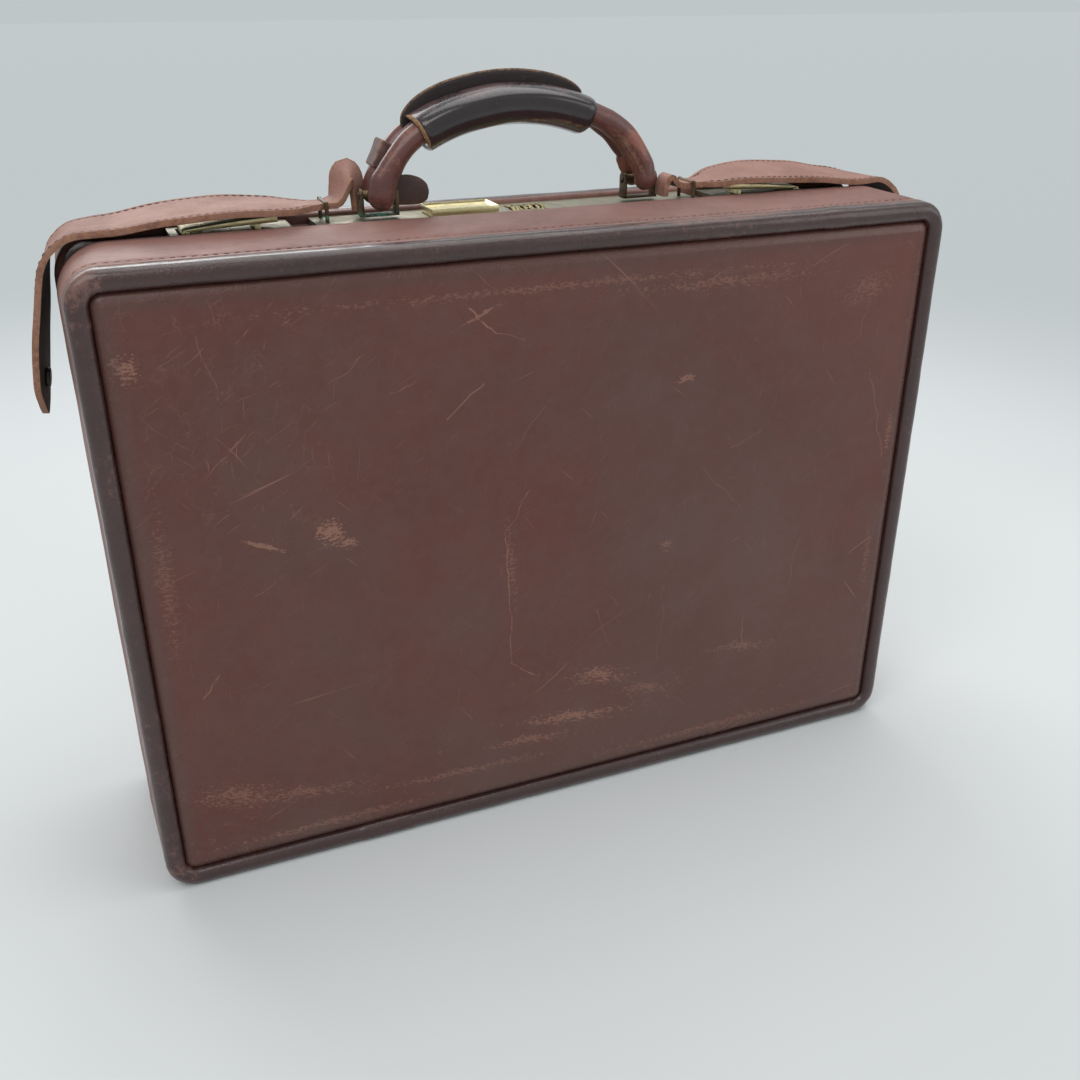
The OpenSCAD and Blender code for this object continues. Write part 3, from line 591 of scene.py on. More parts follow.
# Rubbed patches on the lid's panel: x, z, half length, half height, turn in degrees, raggedness, strength
PANEL_RUBS = [
    (-125, 195, 9, 9, 20, 4.0, 0.9), (-117, 188, 6, 4, 0, 4.0, 0.8), (-158, 194, 15, 1.7, -24, 2.5, 0.8),
    (70, 250, 8, 3, 10, 4.0, 0.7), (63, 153, 5, 5, 0, 5.0, 0.5), (8, 52, 40, 5, -6, 5.0, 0.8),
    (24, 76, 22, 7, -14, 5.5, 0.75), (-20, 43, 30, 4, -4, 5.0, 0.6), (55, 60, 24, 5, -10, 6.0, 0.5),
    (119, 74, 26, 4, -8, 6.0, 0.5), (-186, 52, 26, 8, -12, 6.0, 0.55), (-150, 44, 36, 5, -6, 6.0, 0.5),
    (-60, 32, 60, 3, -2, 6.0, 0.5), (209, 201, 3, 16, 0, 5.0, 0.6), (205, 120, 3, 26, 0, 6.0, 0.35),
    (-208, 288, 7, 8, 0, 5.0, 0.8), (-205, 180, 5, 40, 0, 6.5, 0.35), (182, 288, 20, 9, 12, 6.5, 0.35),
    (-44, 296, 16, 1.2, 25, 3.5, 0.7), (90, 300, 60, 4, 0, 7.0, 0.45), (-30, 160, 3, 26, 4, 7.0, 0.4),
    (0, 306, 150, 2.4, 0, 7.0, 0.4), (-140, 20, 70, 3, 0, 6.0, 0.55), (100, 20, 90, 3, 0, 6.5, 0.5)]

# Single scratches on the lid's panel: x and z of both ends, width, strength
PANEL_LINES = [
    (-33, 182, -30, 96, 0.5, 0.8), (-30, 96, -14, 86, 0.5, 0.7), (-33, 178, -20, 200, 0.4, 0.6),
    (-62, 246, -44, 262, 0.5, 0.8), (-50, 300, -36, 286, 0.6, 0.9), (-36, 286, -22, 282, 0.4, 0.6),
    (110, 168, 84, 196, 0.4, 0.4), (120, 214, 100, 206, 0.4, 0.5), (118, 70, 120, 96, 0.6, 0.6),
    (60, 78, 64, 128, 0.3, 0.45), (-196, 116, -186, 128, 0.7, 0.6), (-180, 232, -164, 250, 0.4, 0.6),
    (-92, 262, -78, 268, 0.4, 0.5), (-176, 300, -170, 270, 0.4, 0.5), (190, 240, 206, 186, 0.5, 0.6),
    (178, 262, 186, 292, 0.4, 0.4), (-28, 226, -6, 250, 0.3, 0.5), (150, 110, 152, 140, 0.4, 0.5),
    (-166, 168, -150, 176, 0.4, 0.5), (20, 120, 30, 96, 0.4, 0.4), (-120, 270, -104, 282, 0.4, 0.5)]


def drawn_line():
    """One scratch between two places in a panel's plane, from 0 to 1."""

    def build(g, i, place):
        flat = g.vector("MULTIPLY", place, (1, 0, 1))
        drift = g.node("TexNoise", {"Vector": flat, "Scale": 60.0, "Detail": 2.0}).outputs["Color"]
        bent = g.vector("ADD", flat, g.vector("SCALE", g.vector("SUBTRACT", drift, (0.5, 0.5, 0.5)),
                                              scale=0.009))
        along = g.vector("SUBTRACT", i["End"], i["Start"])
        off = g.vector("SUBTRACT", bent, i["Start"])
        share = g.math("DIVIDE", g.vector("DOT_PRODUCT", off, along), g.vector("DOT_PRODUCT", along, along),
                       clamp=True)
        far = g.vector("LENGTH", g.vector("MULTIPLY", g.vector("SUBTRACT", off, g.vector(
            "SCALE", along, scale=share)), (1, 0, 1)))
        fade = g.step(g.noise(flat, 220.0, 2.0), 0.3, 0.5)
        return {"Mask": g.mul(g.mul(g.step(far, 0.0, i["Width"], 1.0, 0.0), fade), i["Amount"])}

    return effect("Drawn scratch", {"Place": None, "Start": (0.0, 0.0, 0.0), "End": (0.1, 0.0, 0.0),
                                    "Width": 0.0005, "Amount": 1.0}, ["Mask"], build)


def panel_hide(name, marked, seed):
    """Dull burgundy leather of a panel; the lid's one has the drawn marks."""
    mat, g, shader, place = new_material(name)
    shifted = g.turned(place, (0, 0, 0), (1, 1, 1), (seed, 0, seed * 0.7))
    c = colours()
    cloud = g.use(patina(), Place=shifted, Scale=9.0)
    broad = g.use(patina(), Place=shifted, Scale=3.2)
    grain = g.use(leather_grain(), Place=shifted, Scale=760.0)["Height"]
    fine = hairlines(g, shifted, ((16.0, 0.5, 0.6), (11.0, -0.7, 0.5), (22.0, 1.4, 0.5), (8.0, 0.15, 0.5),
                                  (31.0, 2.3, 0.6)))
    web = g.use(crack_web(), Place=shifted, Scale=85.0)["Mask"]
    parts = g.node("SeparateXYZ", {"Vector": place}).outputs
    corner = g.mul(g.step(parts["X"], -0.08, -0.15), g.step(parts["Z"], 0.17, 0.23))
    web = g.mul(web, g.add(g.mul(corner, 0.25), 0.08))
    swarm = hairlines(g, shifted, [(scale, turn, 0.9) for scale, turn in (
        (44.0, 0.62), (60.0, 0.45), (52.0, 1.5), (75.0, 0.8))])
    swarm = g.mul(swarm, g.add(g.mul(corner, 0.65), 0.35))
    low = g.step(parts["Z"], 0.14, 0.02)
    rim = attribute(g, "wear")
    speck = g.step(g.noise(shifted, 260.0, 4.0, 0.75), 0.56, 0.74)
    bloom = g.mul(g.step(g.noise(shifted, 22.0, 5.0, 0.7), 0.50, 0.68), g.add(g.mul(low, 0.8), 0.12))
    masks = [g.mul(fine, 0.7), g.mul(web, 0.7), g.mul(swarm, 0.75),
             g.mul(bloom, speck), g.mul(rim, speck)]
    if marked:
        masks += [g.use(rub_mark(), Place=place, Centre=(x * MM, -CASE_Y, z * MM),
                        Size=(w * MM, 1.0, h * MM), Turn=math.radians(turn), Ragged=rag,
                        Amount=amount)["Mask"] for x, z, w, h, turn, rag, amount in PANEL_RUBS]
        masks += [g.use(drawn_line(), Place=place, Start=(x0 * MM, 0, z0 * MM), End=(x1 * MM, 0, z1 * MM),
                        Width=width * MM, Amount=amount)["Mask"]
                  for x0, z0, x1, z1, width, amount in PANEL_LINES]
    worn = largest(g, masks)
    colour = g.mix(broad["Mask"], tuple(c.panel), tuple(c.panel_grey))
    colour = g.mix(g.mul(cloud["Mask"], 0.45), colour, shade(c.panel, 0.72))
    colour = g.mix(g.mul(cloud["Fine"], 0.16), colour, shade(c.panel_grey, 1.5))
    # Lighter and greyer towards the bottom and the right, in noisy patches
    downward = g.math("MULTIPLY_ADD", parts["Z"], -2.6, parts["X"])
    lighter_low_right = g.step(downward, -0.80, -0.10)
    flush = g.step(g.add(parts["X"], parts["Z"]), 0.32, 0.54)
    colour = g.mix(g.mul(flush, 0.45), colour, (0.165, 0.042, 0.030))
    lighter_low_right = g.mul(lighter_low_right, g.step(g.noise(shifted, 7.0, 4.0, 0.6), 0.30, 0.62))
    colour = g.mix(g.mul(lighter_low_right, 0.40), colour, shade(c.panel_grey, 1.35))
    colour = g.mix(g.mul(worn, 0.75), colour, tuple(c.rubbed))
    # The rim layer marks the panel's border. There the colour is painted greyer as a painted reflection of
    # the backdrop on the upward slope, and the roughness is lowered for real gloss
    polished = attribute(g, "rim")
    colour = g.mix(g.mul(polished, 0.45), colour, shade(c.panel_grey, 0.9))
    rough = g.add(g.blend(cloud["Mask"], 0.47, 0.58), g.mul(worn, 0.25))
    rough = g.sub(rough, g.mul(polished, 0.27))
    height = g.sub(grain, g.mul(largest(g, [fine, web, swarm]), 1.2))
    set_look(g, shader, colour, rough, height=height, bump=0.35, depth=0.00025, Specular_IOR_Level=0.42)
    return mat


def raw_tone(g, place):
    """Fuzzy cut edge of leather: orange brown with dark and pale flecks."""
    fleck = g.noise(place, 430.0, 4.0, 0.8)
    patch = g.noise(place, 60.0, 3.0, 0.6)
    tone = g.mix(g.step(fleck, 0.42, 0.60), (0.060, 0.030, 0.017), (0.50, 0.255, 0.115))
    return g.mix(g.mul(g.step(patch, 0.45, 0.65), 0.5), tone, (0.42, 0.29, 0.19))


def trim_hide(name, base, worn_to, scale, rough, grain_scale, amount, bump=0.35, edge_dark=0.0, polish=0.0):
    """Leather of rolls, beads, bands and straps: patina, wear by attribute, hairlines and grain."""
    mat, g, shader, place = new_material(name)
    cloud = g.use(patina(), Place=place, Scale=scale)
    grain = g.use(leather_grain(), Place=place, Scale=grain_scale)["Height"]
    wear = attribute(g, "wear")
    ragged = g.noise(place, 210.0, 6.0, 0.85)
    rubbed = g.step(g.add(wear, g.mul(ragged, 1.5)), 1.12, 1.42)
    hair = hairlines(g, place, ((26.0, 0.3, 0.6), (19.0, 1.3, 0.6)))
    web = g.use(crack_web(), Place=place, Scale=170.0)["Mask"]
    speck = g.step(g.noise(place, 330.0, 3.0, 0.7), 0.60, 0.72)
    bare = largest(g, [g.mul(rubbed, amount), g.mul(hair, 0.35),
                       g.mul(g.mul(speck, cloud["Mask"]), 0.45 * amount)])
    colour = g.mix(cloud["Mask"], base, shade(base, 0.68))
    colour = g.mix(g.mul(cloud["Fine"], 0.22), colour, shade(base, 1.6))
    colour = g.mix(bare, colour, worn_to)
    colour = g.mix(g.mul(web, 0.45), colour, shade(base, 0.35))
    if edge_dark:
        colour = g.mix(g.mul(attribute(g, "raw"), edge_dark), colour, raw_tone(g, place))
    roughness = g.add(g.blend(cloud["Mask"], rough, rough + 0.12), g.mul(bare, 0.3))
    height = g.sub(grain, g.mul(g.add(web, hair), 0.7))
    if edge_dark:
        fuzz = g.noise(g.turned(place, (0, 0, 0), (1200, 1200, 1200)), 1.0, 5.0, 0.8)
        height = g.add(height, g.mul(fuzz, g.mul(attribute(g, "raw"), 5.0)))
        roughness = g.math("ADD", roughness, g.mul(attribute(g, "raw"), 0.3), clamp=True)
    set_look(g, shader, colour, roughness, height=height, bump=bump, depth=0.0003, Specular_IOR_Level=0.45,
             Coat_Weight=polish, Coat_Roughness=0.09)
    return mat


def worn_brass(name, base, rough, scale=70.0, brushed=0.0):
    mat, g, shader, place = new_material(name)
    smudge = g.use(tarnish(), Place=place, Scale=scale)
    line = g.noise(g.turned(place, (0, 0, 0), (900, 9000, 9000)), 1.0, 2.0)
    colour = g.mix(g.mul(smudge["Cloud"], 0.55), base, (base[0] * 0.62, base[1] * 0.60, base[2] * 0.62))
    colour = g.mix(g.mul(smudge["Spots"], 0.5), colour, (0.19, 0.14, 0.07))
    roughness = g.add(g.blend(smudge["Cloud"], rough, rough + 0.2), g.mul(line, 0.12))
    metal = g.blend(smudge["Spots"], 1.0, 0.55)
    height = g.add(g.mul(line, brushed), g.mul(smudge["Spots"], -0.4))
    set_look(g, shader, colour, roughness, metal, height, bump=0.12, depth=0.0001)
    return mat


def verdigris_bronze(name):
    """Bronze of the roots, darkened partly as patina and partly as painted shade, with green verdigris low
    on it.
    """
    mat, g, shader, place = new_material(name)
    smudge = g.use(tarnish(), Place=place, Scale=110.0)
    parts = g.node("SeparateXYZ", {"Vector": place}).outputs
    low = g.step(parts["Z"], PLATE_TOP + 0.005, PLATE_TOP + 0.0008)
    low = g.mul(low, g.step(parts["X"], 0.0, -0.02))
    crust = g.mul(low, g.step(g.noise(place, 420.0, 4.0, 0.7), 0.46, 0.60))
    # Both tones sit well below bronze's own colour: partly patina, partly painted shade so the posts read as
    # shadow
    colour = g.mix(smudge["Cloud"], (0.085, 0.060, 0.038), (0.16, 0.115, 0.065))
    colour = g.mix(crust, colour, (0.055, 0.23, 0.16))
    metal = g.sub(0.9, g.mul(crust, 0.8))
    roughness = g.add(g.blend(smudge["Cloud"], 0.42, 0.58), g.mul(crust, 0.3))
    set_look(g, shader, colour, roughness, metal, g.add(crust, smudge["Spots"]), bump=0.3, depth=0.0002)
    return mat


def board_core(name):
    mat, g, shader, place = new_material(name)
    fibre = g.noise(g.turned(place, (0, 0, 0), (60, 700, 60)), 1.0, 5.0, 0.7)
    fleck = g.noise(place, 900.0, 3.0, 0.7)
    colour = g.mix(g.step(fibre, 0.35, 0.65), (0.30, 0.20, 0.12), (0.42, 0.30, 0.19))
    colour = g.mix(g.mul(g.step(fleck, 0.5, 0.7), 0.4), colour, (0.17, 0.11, 0.07))
    set_look(g, shader, colour, g.blend(fibre, 0.8, 0.95), height=g.add(fibre, fleck), bump=0.4)
    return mat


def lining_cloth(name, base):
    mat, g, shader, place = new_material(name)
    cloth = g.use(weave(), Place=place, Scale=3800.0)
    stain = g.use(patina(), Place=place, Scale=7.0)
    colour = g.mix(cloth["Mask"], shade(base, 0.55), base)
    colour = g.mix(g.mul(stain["Mask"], 0.35), colour, shade(base, 0.6))
    set_look(g, shader, colour, g.blend(stain["Fine"], 0.8, 0.95), height=cloth["Height"], bump=0.6,
             depth=0.0003, Sheen_Weight=0.25)
    return mat


def thread_look(name, base):
    mat, g, shader, place = new_material(name)
    ply = g.noise(place, 2600.0, 2.0)
    grime = g.use(patina(), Place=place, Scale=40.0)["Mask"]
    colour = g.mix(grime, base, shade(base, 0.45))
    set_look(g, shader, colour, g.blend(ply, 0.6, 0.85), height=ply, bump=0.5, depth=0.0002)
    return mat


def plated_steel(name, base, rough):
    mat, g, shader, place = new_material(name)
    dull = g.use(tarnish(), Place=place, Scale=120.0)
    colour = g.mix(g.mul(dull["Cloud"], 0.4), base, shade(base, 0.6))
    colour = g.mix(g.mul(dull["Spots"], 0.35), colour, (0.16, 0.10, 0.06))
    set_look(g, shader, colour, g.blend(dull["Cloud"], rough, rough + 0.18),
             g.blend(dull["Spots"], 1.0, 0.6), height=dull["Spots"], bump=0.1, depth=0.0001)
    return mat


MATERIALS = {}

# Leathers: name, colour, worn colour (None for the tan of rubbed leather), scale of the patina, roughness,
# scale of the grain, wear, and where they differ: bump, cut edge, polish
LEATHERS = {
    "roll": ("Roll leather", "roll", (0.17, 0.080, 0.062), 16.0, 0.25, 480.0, 0.9, 0.5, 0.0, 0.4),
    "band": ("Band leather", "band", None, 16.0, 0.50, 700.0, 0.55),
    "strap": ("Strap leather", "strap", None, 22.0, 0.56, 620.0, 0.6, 0.45, 0.9),
    "under": ("Strap underside", (0.075, 0.072, 0.060), (0.14, 0.11, 0.08), 30.0, 0.7, 500.0,
              0.5, 0.5, 0.6),
    "cord": ("Cord leather", (0.125, 0.041, 0.034), (0.29, 0.105, 0.068), 30.0, 0.30, 700.0,
             0.8, 0.3, 0.5, 0.3),
    "keeper": ("Keeper leather", (0.115, 0.062, 0.058), (0.26, 0.16, 0.13), 30.0, 0.5, 600.0,
               0.7, 0.4, 0.85),
    "raw": ("Raw leather edge", (0.17, 0.095, 0.05), (0.42, 0.26, 0.13), 90.0, 0.8, 500.0, 0.6, 0.7, 0.5),
    # The grip's purple brown worn colour also serves as a painted sheen along the sleeve's upper front
    "grip": ("Grip leather", "grip", (0.15, 0.085, 0.085), 34.0, 0.13, 900.0, 0.6, 0.10, 0.7, 0.4),
    "flap": ("Flap leather", (0.036, 0.026, 0.026), (0.14, 0.10, 0.08), 40.0, 0.42, 700.0, 0.6, 0.4, 0.55),
    "tongue": ("Tongue leather", (0.060, 0.030, 0.027), (0.17, 0.085, 0.065), 30.0, 0.45, 700.0,
               0.6, 0.3, 0.5),
    "pocket": ("Pocket leather", (0.21, 0.105, 0.07), None, 16.0, 0.5, 800.0, 0.4),
}


def build_materials():
    c = colours()
    tan = tuple(c.rubbed)
    m = MATERIALS
    m["lid_panel"] = panel_hide("Lid panel leather", True, 0.0)
    m["base_panel"] = panel_hide("Base panel leather", False, 1.7)
    for key, (name, base, worn_to, *numbers) in LEATHERS.items():
        base = getattr(c, base) if isinstance(base, str) else base
        m[key] = trim_hide(name, tuple(base), worn_to or tan, *numbers)
    m["brass"] = worn_brass("Worn brass", tuple(c.brass), 0.22)
    # The plate brass is a dull olive, darkened further partly as painted shade for the latch plates lying in
    # the straps' shadow
    m["plate"] = worn_brass("Plate brass", (0.33, 0.30, 0.22), 0.38, 50.0, 0.5)
    m["dial"] = worn_brass("Dial brass", (0.55, 0.47, 0.27), 0.30, 160.0)
    m["ink"] = worn_brass("Dial ink", (0.03, 0.025, 0.02), 0.5, 200.0)
    m["steel"] = plated_steel("Plated steel", (0.52, 0.50, 0.45), 0.30)
    m["spring"] = plated_steel("Spring wire", (0.30, 0.30, 0.31), 0.35)
    m["snap"] = plated_steel("Snap enamel", (0.055, 0.048, 0.045), 0.40)
    m["bronze"] = verdigris_bronze("Dark bronze")
    m["band_inner"] = trim_hide("Valance leather", shade(c.band, 0.8), tan, 16.0, 0.55, 700.0, 0.3)
    m["bead"] = trim_hide("Bead leather", shade(c.band, 0.85), (0.30, 0.17, 0.13), 30.0, 0.30, 900.0, 0.7,
                          0.25, polish=0.4)
    m["board"] = board_core("Pressed board")
    m["lining"] = lining_cloth("Lining cloth", (0.34, 0.25, 0.15))
    m["thread"] = thread_look("Sewing thread", (0.20, 0.11, 0.085))
    m["thread_dark"] = thread_look("Dark thread", (0.06, 0.032, 0.028))


# The shell: panels, rolls, beads, bands and their stitching


def swept_round(name, profile, radius, cuts=9):
    """Sweeps a closed profile of (outward offset, y) round the case, as by extrude and spin."""
    deselect()
    bpy.ops.mesh.primitive_circle_add(vertices=len(profile), radius=0.01, fill_type="NOTHING")
    obj = added(name)
    for v, (out, y) in zip(obj.data.vertices, profile):
        v.co = (0, y, -out)
    run_x = CASE_X - radius
    run_z = CASE_Z - 2 * radius
    bpy.ops.object.mode_set(mode="EDIT")
    bpy.ops.mesh.select_all(action="SELECT")
    corners = [(run_x, radius), (run_x, CASE_Z - radius), (-run_x, CASE_Z - radius), (-run_x, radius)]
    legs = [(run_x, 0, 0), (0, 0, run_z), (-2 * run_x, 0, 0), (0, 0, -run_z), (run_x, 0, 0)]
    for k, leg in enumerate(legs):
        bpy.ops.mesh.extrude_region_move(TRANSFORM_OT_translate={"value": leg})
        if k < 4:
            bpy.ops.mesh.spin(steps=12, angle=math.pi / 2, center=(corners[k][0], 0, corners[k][1]),
                              axis=(0, 1, 0))
    object_mode()
    outwards(obj, weld=True)
    for _ in range(2):
        subdivided(obj, cuts, lambda e: e.calc_length() > 0.02)
    return obj


def corner_share(x, z, radius):
    """(nearest place on the inner frame, unit outward direction) for a place on the outline."""
    cx = max(-CASE_X + radius, min(CASE_X - radius, x))
    cz = max(radius, min(CASE_Z - radius, z))
    d = Vector((x - cx, z - cz))
    return cx, cz, (d.normalized() if d.length > 1e-9 else Vector((0, 0)))


def write(obj, **layers):
    """Writes a number per point in each named layer, which the materials read."""
    for name, values in layers.items():
        obj.data.attributes.new(name, "FLOAT", "POINT").data.foreach_set("value", values)


def paint(obj, name, value):
    """Writes value(place) per point."""
    write(obj, **{name: [value(v.co) for v in obj.data.vertices]})


def dent(obj, amount):
    """Moves each point along its normal by amount(place), for hand worn surfaces."""
    normals = [v.normal.copy() for v in obj.data.vertices]
    for v, n in zip(obj.data.vertices, normals):
        v.co += n * amount(v.co)
    obj.data.update()


def corner_closeness(co, reach=0.04):
    """1 at the case's corners in the front view, 0 beyond reach from them."""
    dx = CASE_X - abs(co.x)
    dz = min(co.z, CASE_Z - co.z)
    return max(0.0, 1.0 - math.hypot(dx, dz) / reach)


def roll_wear(co, side):
    """Where the rolls are rubbed: the corners, patches, and the top edge to the right."""
    wear = 0.30 * corner_closeness(co, 0.055)
    if side < 0 and co.z > CASE_Z / 2:
        wear += 0.5 * corner_closeness(co, 0.026) if co.x < 0 else -0.45 * corner_closeness(co, 0.05)
    wear += 0.30 * noise_at(co, 0.045) + 0.12
    if side < 0 and co.z > CASE_Z - 0.02:
        high = unit((CASE_Y - 0.0015 - abs(co.y)) / 0.003)
        wear += (0.14 + 0.36 * high) * unit((co.x + 0.06) / 0.12) * (1.1 - co.x / CASE_X * 0.4)
        wear -= 0.45 * unit((-0.02 - co.x) / 0.08) * (1 - corner_closeness(co))
    if side < 0 and co.x < -CASE_X + 0.02:
        wear += 0.22 * max(0.0, hash_noise(co.x, co.y, co.z + 3, 0.05)) + 0.1
    return wear


def crowd(t):
    """Draws a share from -1 to 1 towards its ends."""
    return math.copysign(1 - max(0.0, 1 - abs(t)) ** 1.25, t)


def make_panel(side):
    """Padded leather panel in its groove: a grid whose edge tucks in and whose face swells."""
    s = sizes()
    half = CASE_X - s.roll_w
    low, high = s.roll_w, CASE_Z - s.roll_w
    edge_y = CASE_Y - 0.005
    radius = 0.0055
    deselect()
    bpy.ops.mesh.primitive_grid_add(x_subdivisions=210, y_subdivisions=150, size=2,
                                    location=(0, 0, (low + high) / 2), rotation=(math.pi / 2, 0, 0))
    obj = added(shell(side) + "_face")
    obj.scale = (half, (high - low) / 2, 1)
    apply_place(obj)
    turn = 0.0062
    mid = (low + high) / 2
    reach_z = (high - low) / 2

    def share(near):
        low = max(0.0, 1 - near / turn)
        ridge = 0.15 * peak(near, 0.0050, 0.0040) ** 1.4
        return 0.88 * math.sqrt(1 - low * low) + ridge + 0.12 * min(1.0, near / 0.03)

    wear, rim = [], []
    for v in obj.data.vertices:
        # more rows near the edge, where the leather turns
        x = half * crowd(v.co.x / half)
        z = mid + reach_z * crowd((v.co.z - mid) / reach_z)
        cx = max(-half + radius, min(half - radius, x))
        cz = max(low + radius, min(high - radius, z))
        off = Vector((x - cx, z - cz))
        if off.length > 1e-9 and abs(off.x) > 1e-9 and abs(off.y) > 1e-9:
            reach = max(abs(off.x), abs(off.y))
            off = off.normalized() * reach
            x, z = cx + off.x, cz + off.y
        near = radius - off.length if off.length > 1e-9 else min(half - abs(x), reach_z - abs(z - mid))
        near = max(0.0, near)
        out = s.swell * share(near)
        seat = unit(near / 0.02)
        out += seat * 0.00045 * hash_noise(x, side, z, 0.09) + seat * 0.00016 * hash_noise(x, side, z, 0.022)
        dimple = max(0.0, hash_noise(x, side * 5, z, 0.03)) * 0.0005
        out -= dimple * max(0.0, 1 - near / 0.012) * min(1, near / 0.003)
        # the rim layer marks the border, which the panel's material paints greyer as a painted reflection
        # and makes glossier
        rim.append(unit(2.2 - near / 0.0045))
        right = 0.45 if x > half - 0.012 else 0.0
        wear.append((0.40 + right) * peak(near, 0.005, 0.005) + 0.5 * corner_closeness(v.co, 0.06))
        v.co = (x, side * (edge_y + out), z)
    write(obj, wear=wear, rim=rim)
    if side > 0:
        edit_all(obj)
        bpy.ops.mesh.flip_normals()
        object_mode()
    modify(obj, "SOLIDIFY", thickness=0.003, offset=-1)
    return obj


def make_roll(side):
    """Padded edge roll with its crowned outside and square back."""
    s = sizes()
    front = CASE_Y
    r = 0.0052
    back = CASE_Y - s.roll_d
    crown = []
    for a in range(0, 91, 9):
        t = math.radians(a)
        crown.append((-r + r * math.sin(t), front - r + r * math.cos(t)))
    inner = [(-s.roll_w, back), (-s.roll_w, front - 0.0045), (-s.roll_w + 0.0003, front - 0.0028),
             (-s.roll_w + 0.0012, front - 0.0012), (-s.roll_w + 0.0026, front - 0.0003), (-0.0066, front)]
    profile = crown + [(0.0, front - 0.0068), (0.0, back + 0.0012), (-0.0008, back), (-0.005, back)] + inner
    obj = swept_round(shell(side) + "_edge_roll",
                      [(o, side * y) for o, y in profile], s.corner)

    def worn(co):
        depth = abs(co.y)
        if depth < back + 0.001:
            return 0.0
        soft = 0.00022 * noise_at(co, 0.022) + 0.00010 * noise_at(co, 0.006) - 0.0002
        pleat = 0.00035 * corner_closeness(co, 0.025) * noise_at(co, 0.0035)
        # one leather end laps the other where the roll is joined, low on the left
        lap = 0.0006 if -0.122 < co.x < -0.092 and co.z < 0.02 else 0.0
        lap += 0.0004 if co.z > CASE_Z - 0.02 and 0.150 < co.x < 0.163 else 0.0
        floor_safe = min(1.0, co.z / 0.002)
        return (soft + pleat) * floor_safe + lap * min(1.0, co.z / 0.004)

    dent(obj, worn)
    for v in obj.data.vertices:
        v.co.z = max(v.co.z, 0.0)
        v.co.y = max(-CASE_Y, min(CASE_Y, v.co.y))
    paint(obj, "wear", lambda co: roll_wear(co, side))
    return obj


def make_bead(side):
    """Thin round bead between the roll and the band."""
    r = BEAD_W / 2
    mid_y = side * (abs(lo("lid_bead").y) + abs(hi("lid_bead").y)) / 2
    profile = [(-r + r * 1.04 * math.cos(math.radians(a)), mid_y + r * 0.98 * math.sin(math.radians(a)))
               for a in range(0, 360, 36)]
    obj = swept_round(shell(side) + "_bead_round", profile, sizes().corner)
    dent(obj, lambda co: 0.00012 * noise_at(co, 0.012) * min(1.0, co.z / 0.002))
    for v in obj.data.vertices:
        v.co.z = max(v.co.z, 0.0002)
    paint(obj, "wear", lambda co: 0.35 + 0.5 * corner_closeness(co) + 0.3 * noise_at(co, 0.03))
    return obj


# The band's flare towards its open edge, its clearance from the floor, and its seam's distance from the bead
FLARE = 0.002
LIFT = 0.0006
STITCH_IN = 0.0034


def band_place(x, z, share, depth):
    """A place on the band: share 0 at the bead, 1 at the open edge; depth goes into the leather."""
    corner = sizes().corner
    cx, cz, out = corner_share(x, z, corner)
    r = corner + 0.009 * share
    wide = CASE_X + FLARE * share - r
    top = CASE_Z + FLARE * share - r
    bottom = LIFT + r
    bx = cx / (CASE_X - corner) * wide
    bz = bottom + (cz - corner) / (CASE_Z - 2 * corner) * (top - bottom)
    return Vector((bx + out.x * (r - depth), bz + out.y * (r - depth)))


def make_band(side, edge):
    """Leather band with its sewn furrow near the bead and its turned, rounded open edge."""
    start = CASE_Y - sizes().roll_d - BEAD_W
    y0, y1 = (-start, edge) if side < 0 else (start, edge)
    way = 1 if y1 > y0 else -1
    length = abs(y1 - y0)
    skin = 0.005
    outer = [(0.0, 0.0012), (0.0004, 0.0004), (0.0012, 0.0), (0.0024, 0.0002), (STITCH_IN, 0.0006),
             (0.0044, 0.0002), (0.0058, 0.0)]
    outer += [(length * k / 9, 0.0) for k in range(2, 9)]
    outer += [(length - 0.0022, 0.0), (length - 0.0010, 0.0002), (length - 0.0003, 0.0007), (length, 0.0015)]
    profile = outer + [(length, skin + FLARE), (0.0, skin)]
    obj = swept_round(shell(side) + "_cover",
                      [(-depth, y0 + way * along) for along, depth in profile], sizes().corner)
    for v in obj.data.vertices:
        along = abs(v.co.y - y0)
        cx, cz, out = corner_share(v.co.x, v.co.z, sizes().corner)
        depth = sizes().corner - math.hypot(v.co.x - cx, v.co.z - cz)
        place = band_place(cx + out.x * sizes().corner, cz + out.y * sizes().corner, along / length, depth)
        soft = 0.00025 * noise_at(v.co, 0.03) + 0.00008 * noise_at(v.co, 0.007)
        if depth > 0.003 or v.co.z < 0.02:
            soft = 0.0
        v.co = (place.x + out.x * (soft - 0.0002), v.co.y, place.y + out.y * (soft - 0.0002))
    obj.data.update()
    paint(obj, "wear", lambda co: 0.55 * peak(co.y, y1, 0.004) + 0.45 * corner_closeness(co, 0.05)
          + 0.35 * noise_at(co, 0.04))
    return outwards(obj, weld=True)


def make_stitches(name, places, radius, length, verts=6):
    """One small rounded stitch, copied along (place, direction, outward) rows into one mesh."""
    deselect()
    bpy.ops.mesh.primitive_uv_sphere_add(segments=verts, ring_count=5, radius=1)
    stitch = added(name)
    shape = [Vector((v.co.z * length / 2, v.co.x * radius, v.co.y * radius)) for v in stitch.data.vertices]
    faces = [tuple(p.vertices) for p in stitch.data.polygons]
    points, all_faces = [], []
    for place, along, out in places:
        along, out = Vector(along).normalized(), Vector(out).normalized()
        across = out.cross(along).normalized()
        first = len(points)
        points += [Vector(place) + along * q.x + across * q.y + out * q.z for q in shape]
        all_faces += [tuple(first + k for k in f) for f in faces]
    mesh = bpy.data.meshes.new(name)
    mesh.from_pydata(points, [], all_faces)
    old = stitch.data
    stitch.data = mesh
    bpy.data.meshes.remove(old)
    return outwards(stitch)


